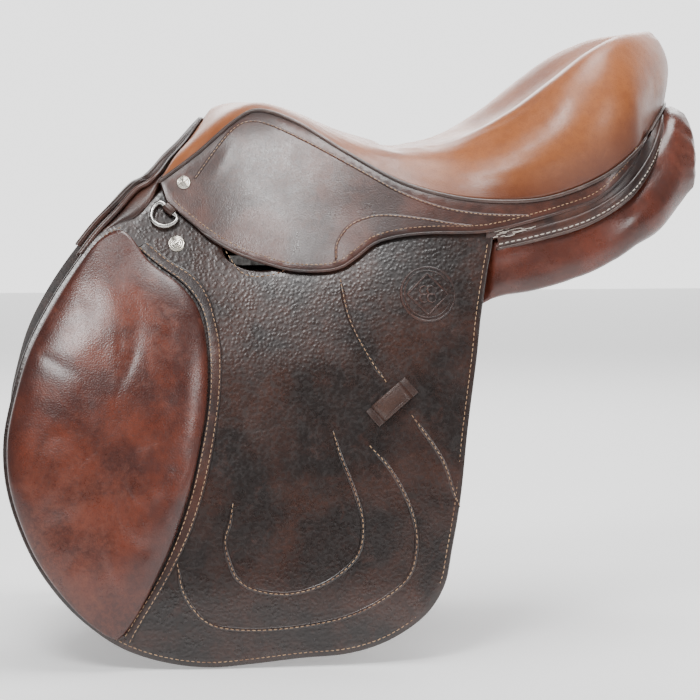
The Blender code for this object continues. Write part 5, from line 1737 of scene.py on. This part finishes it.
    def build(self) -> None:
        """Build and dress both flaps and everything on them."""
        seam_loop = smooth_line(self.seam, 4.0)
        seam_loop = np.vstack([seam_loop, smooth_line(self.seam_back, 4.0)])
        near = {
            "flap_leather": (self.sheet(), Finish.FLAP, "flap_leather", ("flap", "flap_top")),
            "flap_ridges": (self.ridges(), Finish.FLAP, "flap_leather", ()),
            "flap_stitches": (self.sewing(), Finish.THREAD, "webbing", ()),
            "flap_mark": (self.mark(), Finish.EDGE, "flap_leather", ()),
            "pad_seam": (Sheet(seam_loop, self.half - 0.2, self.half + 1.9, spacing=4.2, edge=0.8,
                               rim_reach=3.0).shape(), Finish.EDGE, "flap_leather", ("pad_band",)),
            "pad_seam_stitches": (self.seam_rows(), Finish.THREAD, "webbing", ()),
            "knee_roll": (self.pad(), Finish.PAD, "pad_leather", ("knee_pad",)),
            "leather_keeper": (self.keeper(), Finish.STRAP, "strap_leather", ("flap_keeper",)),
        }
        for hand in Hand:
            for piece, (shape, finish, slot, nodes) in near.items():
                on = hand.name("flap") if piece == "leather_keeper" else (self.fold, hand, "flap")
                fit_piece(hand.name(piece), shape.on(hand), finish, on,
                          replaces=[hand.name(n) for n in nodes])


# ---- the skirts
@dataclass
class Skirts:
    """The skirts below the seat, with their creased and sewn lines; the nail at the front of each is built with the
    fittings.
    """

    top: tuple[Pair, ...] = ((-213, 33), (-180, 57), (-151, 81.5), (-130, 92.5), (-100, 84), (-56, 57), (-13, 33),
                             (28, 21), (68, 17), (109, 20), (153, 36), (187, 59), (205, 75.7))
    tail: tuple[Pair, ...] = ((196, 65), (180, 43), (151, 19), (124, 9), (92, 0), (62, -7))
    lower: tuple[Pair, ...] = ((43, -9), (10, -9.5), (-15, -12), (-36, -18), (-52, -30), (-65, -38), (-82, -41),
                               (-106, -40), (-129, -34), (-151, -26), (-172, -14), (-196, 5), (-208, 16))
    upper_line: tuple[Pair, ...] = ((-183.3, 35.3), (-165.8, 58.6), (-151, 75.4), (-139.8, 82.1), (-125.6, 82.1),
                                    (-94.5, 68.7), (-46.2, 42.2), (-14.1, 24), (18.3, 11.8), (50.9, 6.1),
                                    (92.3, 4.4))
    rear_curve: tuple[Pair, ...] = ((-68.5, -31.2), (-67.1, -18.2), (-56.8, -4.2), (-43.4, 2.5), (-27.8, 5),
                                    (4.8, 1.8), (28.4, -2.2), (44, -3.8))
    fold: Fold = Fold((-210.5, 22), (43, -9), 5.0)
    inner: float = 4.0
    outer: float = 7.2
    stitches: Stitching = Stitching(length=2.5, pitch=3.9, radius=0.33, proud=0.12)

    def outline(self) -> np.ndarray:
        """The skirt's cut edge, all round."""
        top = smooth_line([(x, z - 1.2) for x, z in self.top], 4.2)
        under = smooth_line(self.tail + self.lower, 4.2)
        return np.vstack([top, under])

    def sheet(self) -> Shape:
        """The near skirt, slightly full in the middle."""

        def out(x: float, z: float) -> float:
            full = math.exp(-((x + 95) / 70) ** 2 - ((z - 25) / 38) ** 2)
            gap = (x + 160) * 0.8 - (z - 50) * 0.6
            fold = 0.7 * math.exp(-(gap / 3.5) ** 2) * math.exp(-(((x + 158) * 0.6 + (z - 52) * 0.8) / 16) ** 2)
            return self.outer + 0.9 * full - fold + 0.35 * noise.noise(Vector((x / 45, z / 30, 4.4)))

        shape = Sheet(self.outline(), self.inner, out, spacing=4.6, edge=1.3, rim_reach=6.0).shape()
        x, z = shape.points[:, 0], shape.points[:, 2]
        # painted highlight: the skirt lighter in patches over the top of its full middle
        shape.marks["wear_and_highlight"] = 0.45 * np.exp(-((x + 100) / 70) ** 2 - ((z - 45) / 26) ** 2)
        return shape

    def out_at(self, flat: np.ndarray) -> np.ndarray:
        """The skirt's outer face at places (x, z)."""
        full = np.exp(-((flat[:, 0] + 95) / 70) ** 2 - ((flat[:, 1] - 25) / 38) ** 2)
        soft = [noise.noise(Vector((x / 45, z / 30, 4.4))) for x, z in flat]
        return self.outer + 0.9 * full + 0.35 * np.array(soft)

    def row(self, line: Sequence[Pair] | np.ndarray, lift: float = 0.1, smooth: bool = True) -> Shape:
        """A row of thread on the skirt's face."""
        flat = smooth_line(line, 2.0) if smooth else resample(np.asarray(line, float), 2.0)
        return self.stitches.along(SIDE.lay(flat, self.out_at(flat) + lift), SIDE.normals(flat))

    def ridge(self, line: Sequence[Pair]) -> Shape:
        """A raised line on the skirt's face."""
        flat = smooth_line(line, 3.0)
        path, away = SIDE.lay(flat, self.out_at(flat) - 0.12), SIDE.normals(flat)
        return swept(path, round_profile(1.35, 8, 0.42), up=away.mean(axis=0), round_ends=True)

    def fray(self) -> Shape:
        """Short broken threads where rubbing has gone through the tail's seam."""
        rng = np.random.default_rng(11)
        parts = []
        for _ in range(34):
            x = rng.uniform(60, 134)
            z = np.interp(x, [60, 92, 124, 151], [-8, -1.5, 7.5, 17]) - rng.uniform(0.5, 7.0)
            angle = rng.uniform(0.1, 0.36)
            length = rng.uniform(3.0, 10.0)
            bow = rng.uniform(-0.5, 0.5)
            line = [(x, z), (x + length * 0.5 * math.cos(angle), z + length * 0.5 * math.sin(angle) + bow),
                    (x + length * math.cos(angle), z + length * math.sin(angle))]
            flat = dense(line, per=3)
            path = SIDE.lay(flat, self.inner - 0.2 + rng.uniform(0.0, 1.2))
            parts.append(swept(path, round_profile(0.28, 5), round_ends=True))
        return parts[0].joined(*parts[1:])

    def build(self) -> None:
        """Build and dress both skirts and everything on them."""
        under = smooth_line(self.tail + self.lower, 4.0)
        inset = moved_in(under, 5.3 if turning(self.outline()) > 0 else -5.3, closed=False)[2:-1]
        rows = self.row(inset, smooth=False).joined(self.row(self.upper_line, 0.3), self.row(self.rear_curve, 0.3))
        lines = self.ridge(self.upper_line).joined(self.ridge(self.rear_curve))
        edge_rope = cord_on_side(under[under[:, 0] > -186], self.outer - 1.2, 1.5, 0.9, smooth=False)
        near = {
            "skirt_leather": (self.sheet(), Finish.SKIRT, "skirt_leather", ("skirt", "skirt_top")),
            "skirt_ridges": (lines, Finish.SKIRT, "skirt_leather", ()),
            "skirt_stitches": (rows, Finish.THREAD, "webbing", ()),
            "skirt_edge": (edge_rope, Finish.EDGE, "edge_leather", ()),
        }
        for hand in Hand:
            for piece, (shape, finish, slot, nodes) in near.items():
                fit_piece(hand.name(piece), shape.on(hand), finish, (self.fold, hand, "skirt"),
                          replaces=[hand.name(n) for n in nodes])
            fit_piece(hand.name("skirt_fray"), self.fray().on(hand), Finish.PALE_THREAD)


# ---- the pommel
@dataclass
class PommelEdge:
    """The bound front edge under the pommel, between the flaps and the seat."""

    line: tuple[Triple, ...] = ((-280, 95, -28), (-265, 89, -9), (-248, 83.5, 8.5), (-231, 73, 26),
                                (-217, 70, 34), (-204, 52, 49), (-191.5, 36, 61.5), (-182, 18, 73), (-174, 0, 82))

    def path(self) -> np.ndarray:
        """The binding's line from the near side over the pommel to the off side."""
        return resample(over_middle(dense(self.line, per=8) * MIRROR), 3.4)

    def build(self) -> None:
        """Build and dress the binding and its bead."""
        path = self.path()
        profile = [(-5, -1.6), (-5, 1.4), (-4.4, 2.0), (3.8, 2.0), (5.4, 1.4), (6.0, 0.2), (5.6, -1.2), (4.2, -2.0),
                   (-4.2, -2.0)]
        fit_piece("pommel_edge", swept(path, profile, up=(1, 0, 0)), Finish.EDGE,
                  replaces=("pommel_binding",), angle=75)
        seam = [(-262, -11), (-246, -2), (-234, 3), (-222, 14), (-213.5, 31)]
        low = np.vstack([dense(SIDE.lay(np.array(seam), 1.2), per=8), [[-200, -47, 50], [-190, -33, 62]]])
        high = dense(np.array(self.line[1:7]) * MIRROR + [3.0, 0.5, 0], per=8)
        strip = ribbon(high, low, 2.4, 40, 0.8)
        for hand in Hand:
            fit_piece(hand.name("pommel_facing"), strip.on(hand), Finish.EDGE)
        high = over_middle(dense(np.array(self.line[3:]), per=8) * MIRROR)
        lining = ribbon(high, high * [1, 0.87, 1] - [1.0, 0, 17.0], 2.0, 70, 0.6)
        fit_piece("pommel_lining", lining, Finish.EDGE)
        bead = swept(path - [2.0, 0, 0], round_profile(1.4, 8), up=(1, 0, 0), round_ends=True)
        fit_piece("pommel_bead", bead, Finish.PIPING)


# ---- the fittings
@dataclass
class Fittings:
    """The dee rings with their leather chapes and the round-headed nails."""

    ring_middle: Pair = (-205.6, 7.7)
    ring_run: Pair = (0.735, -0.678)
    flap_out: float = 2.0
    ring_lift: float = 3.8
    wire: float = 1.9
    reach: float = 17.0
    skirt_nail: tuple[float, float, float, float] = (-193, 31.5, 6.0, 7.3)
    pommel_nail: tuple[float, float, float, float] = (-200, -19, 7.2, 1.9)

    def ring_axes(self) -> tuple[np.ndarray, np.ndarray, np.ndarray, np.ndarray]:
        """The near ring's bar: its middle, its run, the way to the bow and outward."""
        origin, along, across, out = SIDE.axes(*self.ring_middle, self.ring_run, self.flap_out, self.ring_lift)
        return origin, along, (-across if across[0] > 0 else across), out

    def ring(self) -> Shape:
        """The near dee ring."""
        origin, along, across, out = self.ring_axes()
        line = [(p, 0.0) for p in np.linspace(-8, 8, 7)]
        line += [(9.8, 0.7), (10.9, 2.4)]
        for k in range(1, 32):
            t = math.pi * k / 32
            line.append((11 * math.cos(t), 3.2 + (self.reach - 3.2) * math.sin(t) ** 0.9))
        line += [(-10.9, 2.4), (-9.8, 0.7)]
        path = np.array([origin + along * p + across * q for p, q in line])
        return swept(path, round_profile(self.wire, 14), up=out, closed=True)

    def chape(self) -> Shape:
        """The near ring's folded strip of leather, sewn under the skirt."""
        origin, along, across, out = self.ring_axes()
        middle = self.wire + 0.4 + 0.6
        plan = [(7.0, -1.55), (5.2, -1.2), (3.4, 0.6), (1.9, middle - 0.35)]
        plan += [(-middle * math.sin(t), middle * math.cos(t)) for t in np.linspace(0, math.pi, 9)]
        plan += [(5.0, -middle), (14.0, -middle)]
        line = dense(plan, per=4)
        path = origin - line[:, :1] * across + line[:, 1:] * out
        profile = [(b, a) for a, b in strap_profile(10.0, 1.2, 0.5, -0.6)]
        strap = swept(path, profile, up=along)
        start, end = (origin - across * 5.6 + along * side - out * 0.75 for side in (-3.4, 3.4))
        sewn = Stitching(length=1.9, pitch=2.3, radius=0.3, proud=0.1).along(np.array([start, end]),
                                                                            np.array([out, out]))
        sewn.slots = [1] * len(sewn.faces)
        strap.slots = [0] * len(strap.faces)
        return strap.joined(sewn)

    def nail(self, x: float, z: float, radius: float, out: float) -> Shape:
        """A near-side nail, its head chased with rings round a boss."""
        origin, a, b, c = SIDE.axes(x, z, (1, 0), out, 0.0)
        r = radius
        line = [(0, 0), (r * 0.93, 0), (r * 0.99, 0.25), (r, 0.6), (r * 0.97, 0.95), (r * 0.9, 1.3), (r * 0.84, 1.45),
                (r * 0.79, 1.3), (r * 0.75, 1.3), (r * 0.69, 1.75), (r * 0.62, 1.95), (r * 0.56, 1.8),
                (r * 0.52, 1.8), (r * 0.46, 2.2), (r * 0.38, 2.4), (r * 0.33, 2.2), (r * 0.29, 2.2),
                (r * 0.22, 2.65), (r * 0.12, 2.9), (0, 3.0)]
        return turned(origin, (a, b, c), line, 40)

    def build(self) -> None:
        """Build and dress the rings, chapes and nails of both sides."""
        for hand in Hand:
            ring = hand.name("d_ring")
            fit_piece(hand.name("dee"), self.ring().on(hand), Finish.STEEL, ring, replaces=(ring,))
            fit_piece(hand.name("dee_chape"), self.chape().on(hand), Finish.STRAP,
                      replaces=(hand.name("ring_chape"),), angle=60, second=Finish.THREAD)
            for piece, spot in (("skirt_nail", self.skirt_nail), ("pommel_nail", self.pommel_nail)):
                fit_piece(hand.name(f"{piece}_head"), self.nail(*spot).on(hand), Finish.NICKEL,
                          replaces=(hand.name(piece),))


# ---- the girthing
@dataclass
class Girthing:
    """The sweat flaps, the webs under the flaps and the three girth straps of each side."""

    sweat: tuple[Pair, ...] = ((-200, -54), (-228, -62), (-262, -88), (-296, -128), (-312, -175), (-306, -222),
                               (-282, -268), (-244, -306), (-190, -328), (-130, -332), (-70, -326), (-20, -306),
                               (2, -270), (10, -220), (18, -160), (26, -100), (30, -54))
    web_span: Pair = (-86, 10)
    web_rise: Pair = (-49, -24)
    first: float = -70.0
    pitch: float = 32.0
    width: float = 26.0
    top: float = -44.0
    foot: float = -300.5
    layers: tuple[float, ...] = (-11.5, -6.0, -11.5)
    half: float = 1.45
    punches: int = 7

    def strap(self, number: int) -> tuple[Shape, Shape]:
        """A near girth strap with its punched holes, and the thread that sews it to its web."""
        x, half, out = self.first + number * self.pitch, self.width / 2, self.layers[number]
        outline = [(x - half, self.top), (x + half, self.top), (x + half, self.foot + 24),
                   (x + half * 0.86, self.foot + 10), (x + half * 0.5, self.foot + 1.5), (x, self.foot),
                   (x - half * 0.5, self.foot + 1.5), (x - half * 0.86, self.foot + 10),
                   (x - half, self.foot + 24)]
        corners = [resample(np.array([a, b], float), 4.0)[:-1] for a, b in zip(outline, outline[1:] + outline[:1])]
        holes = []
        for k in range(self.punches):
            z = self.foot + 42 + 25 * k
            holes.append(np.array([(x + 2.4 * math.cos(t), z + 2.4 * math.sin(t))
                                   for t in np.linspace(0, 2 * math.pi, 12, endpoint=False)]))
        shape = Sheet(np.vstack(corners), out - self.half, out + self.half, spacing=5.2, edge=0.6, holes=holes,
                      rim_reach=4.0).shape()
        row = Stitching(length=3.0, pitch=4.2, radius=0.38, proud=0.1)
        rows = [row.on_side([(x + s * (half - 3.2), self.foot + 26), (x + s * (half - 3.2), self.top - 6)],
                            out + self.half, smooth=False) for s in (-1, 1)]
        return shape, rows[0].joined(rows[1])

    def web(self) -> tuple[Shape, Shape]:
        """The near webs, one each side of the strap tops, and the thread through them."""
        (x0, x1), (z0, z1) = self.web_span, self.web_rise
        sheets = []
        for low, high in ((-13.4, -13.0), (-4.4, -3.4)):
            corner = resample(np.array([(x0, z0), (x1, z0), (x1, z1), (x0, z1), (x0, z0)], float), 4.0)[:-1]
            sheets.append(Sheet(corner, low - 0.6, high, spacing=5.0, edge=0.4).shape())
        core = resample(np.array([(x0 + 1, z1 - 9), (x1 - 1, z1 - 9), (x1 - 1, z1), (x0 + 1, z1), (x0 + 1, z1 - 9)],
                                 float), 4.0)[:-1]
        sheets.append(Sheet(core, -13.2, -4.2, spacing=5.0, edge=0.4).shape())
        row = Stitching(length=2.8, pitch=3.8, radius=0.4, proud=0.1)
        rows = []
        for k in range(3):
            x, half = self.first + k * self.pitch, self.width / 2 - 3
            box = [(x - half, z0 + 3), (x + half, z0 + 3), (x + half, z1 - 3), (x - half, z1 - 3), (x - half, z0 + 3)]
            rows.append(row.on_side(box, -3.4, smooth=False))
            rows.append(row.on_side([(x - half, z0 + 3), (x + half, z1 - 3)], -3.4, smooth=False))
        return sheets[0].joined(*sheets[1:]), rows[0].joined(*rows[1:])

    def build(self) -> None:
        """Build and dress everything below the flaps."""
        sweat = Sheet(smooth_line(self.sweat, 5.0, closed=True), -18.9, -16.1, spacing=7.5, edge=1.1).shape()
        edge = smooth_line(self.sweat, 5.0, closed=True)
        inset = moved_in(edge, 5.0 if turning(edge) > 0 else -5.0)
        sewn = Stitching(length=3.2, pitch=4.8, radius=0.4).on_side(inset, -16.1, smooth=False)
        web, web_rows = self.web()
        straps = [self.strap(k) for k in range(3)]
        near = [("sweat_leather", sweat, Finish.STRAP, "saddle", "strap_leather", "sweat_flap"),
                ("sweat_stitches", sewn, Finish.DARK_THREAD, "saddle", "webbing", ""),
                ("girth_webs", web, Finish.WEB, "saddle", "webbing", "girth_web"),
                ("girth_web_stitches", web_rows, Finish.DARK_THREAD, "saddle", "webbing", "")]
        for k, (strap, rows) in enumerate(straps, start=1):
            near += [(f"girth_strap_{k}", strap, Finish.STRAP, f"billet_{k}", "strap_leather", f"billet_{k}"),
                     (f"girth_strap_{k}_stitches", rows, Finish.THREAD, f"billet_{k}", "webbing", "")]
        for hand in Hand:
            for piece, shape, finish, body, slot, node in near:
                fit_piece(hand.name(piece), shape.on(hand), finish,
                          body if body == "saddle" else hand.name(body), replaces=[hand.name(node)] if node else ())


# ---- the tree
@dataclass
class TreeFinish:
    """Dresses the parts of the frame that are shown as they are: the wooden tree and its ironwork."""

    wood: tuple[str, ...] = ("tree_head", "tree_rail", "tree_cantle", "tree_point")
    iron: tuple[str, ...] = ("gullet_plate", "spring_steel", "stirrup_bar", "bar_catch", "bar_rivet")

    def build(self) -> None:
        """Give each shown part its finish."""
        for name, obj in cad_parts.items():
            for stems, finish in ((self.wood, Finish.BEECH), (self.iron, Finish.IRON)):
                if name.startswith(stems):
                    obj.data.materials.clear()
                    obj.data.materials.append(SHELF.get(finish))
                    LOG.info("%s: finished", name)


# ---- the studio
@dataclass
class Studio:
    """The camera, the pale floor and the soft light. Its sizes are in metres."""

    azimuth: float = -6.0
    elevation: float = 5.0
    distance: float = 2.4
    target: Triple = (-0.044, 0.0, -0.118)
    lens: float = 140.3
    floor: float = -0.3625

    def camera(self) -> None:
        """Stand the camera a little ahead of square to the near side and a little above it."""
        data = bpy.data.cameras.new("camera")
        data.lens, data.sensor_width = self.lens, 36.0
        data.clip_start, data.clip_end = 0.05, 50
        cam = bpy.data.objects.new("camera", data)
        a, e = math.radians(self.azimuth), math.radians(self.elevation)
        back = Vector((math.sin(a) * math.cos(e), -math.cos(a) * math.cos(e), math.sin(e)))
        cam.location = Vector(self.target) + back * self.distance
        cam.rotation_mode = "QUATERNION"
        cam.rotation_quaternion = (-back).to_track_quat("-Z", "Y")
        bpy.context.scene.collection.objects.link(cam)
        bpy.context.scene.camera = cam

    def plane(self, name: str, points: Sequence[Triple], rows: int, columns: int, finish: Finish) -> None:
        """A plane of the studio, as a grid of points."""
        mesh = bpy.data.meshes.new(name)
        mesh.from_pydata(points, [], grid_faces(rows, columns))
        mesh.materials.append(SHELF.get(finish))
        obj = bpy.data.objects.new(name, mesh)
        bpy.context.scene.collection.objects.link(obj)

    def floor_and_air(self) -> None:
        """Lay the floor, stand the backdrop and fill the air round the saddle with even white light."""
        count, size = 24, 14.0
        rows = np.linspace(-size / 2, size / 2, count + 1)
        self.plane("floor", [(x, y, self.floor) for x in rows for y in rows], count + 1, count + 1, Finish.FLOOR)
        wide, low, tall, back = 9.0, -1.5, 5.0, 4.5
        points = [(x, back, z) for x in np.linspace(-wide, wide, 13) for z in np.linspace(low, tall, 9)]
        self.plane("backdrop", points, 13, 9, Finish.BACKDROP)
        world = bpy.data.worlds.new("air")
        world.use_nodes = True
        background = world.node_tree.nodes["Background"]
        background.inputs[0].default_value = (1.0, 1.0, 1.0, 1.0)
        background.inputs[1].default_value = 0.24
        bpy.context.scene.world = world

    def lamp(self, name: str, place: Triple, size: Pair, power: float) -> None:
        """A soft rectangular lamp that faces the saddle."""
        data = bpy.data.lights.new(name, "AREA")
        data.shape, data.size, data.size_y, data.energy = "RECTANGLE", size[0], size[1], power
        lamp = bpy.data.objects.new(name, data)
        lamp.location = place
        away = Vector(self.target) - Vector(place)
        lamp.rotation_mode = "QUATERNION"
        lamp.rotation_quaternion = away.to_track_quat("-Z", "Y")
        bpy.context.scene.collection.objects.link(lamp)

    def light(self) -> None:
        """Hang the lamps."""
        self.lamp("window", (-0.75, -1.6, 1.7), (0.6, 0.7), 38)
        self.lamp("overhead", (0.25, -0.1, 1.7), (1.3, 0.8), 34)
        self.lamp("side", (1.6, -1.9, 0.9), (0.35, 1.1), 14)
        self.lamp("behind", (0.2, 1.9, 1.1), (1.8, 1.0), 26)


def corners(box: Iterable[Sequence[float]]) -> list[list[float]]:
    """A box's two corners as plain lists."""
    return [[float(c) for c in corner] for corner in box]


def main() -> None:
    """Build the saddle, dress it and light it."""
    logging.basicConfig(level=logging.INFO, format="%(message)s")
    studio = Studio()
    studio.camera()
    TreeFinish().build()
    Seat().build()
    Panels().build()
    Flaps().build()
    Skirts().build()
    PommelEdge().build()
    Fittings().build()
    Girthing().build()
    studio.floor_and_air()
    studio.light()


if __name__ == "__main__":
    main()
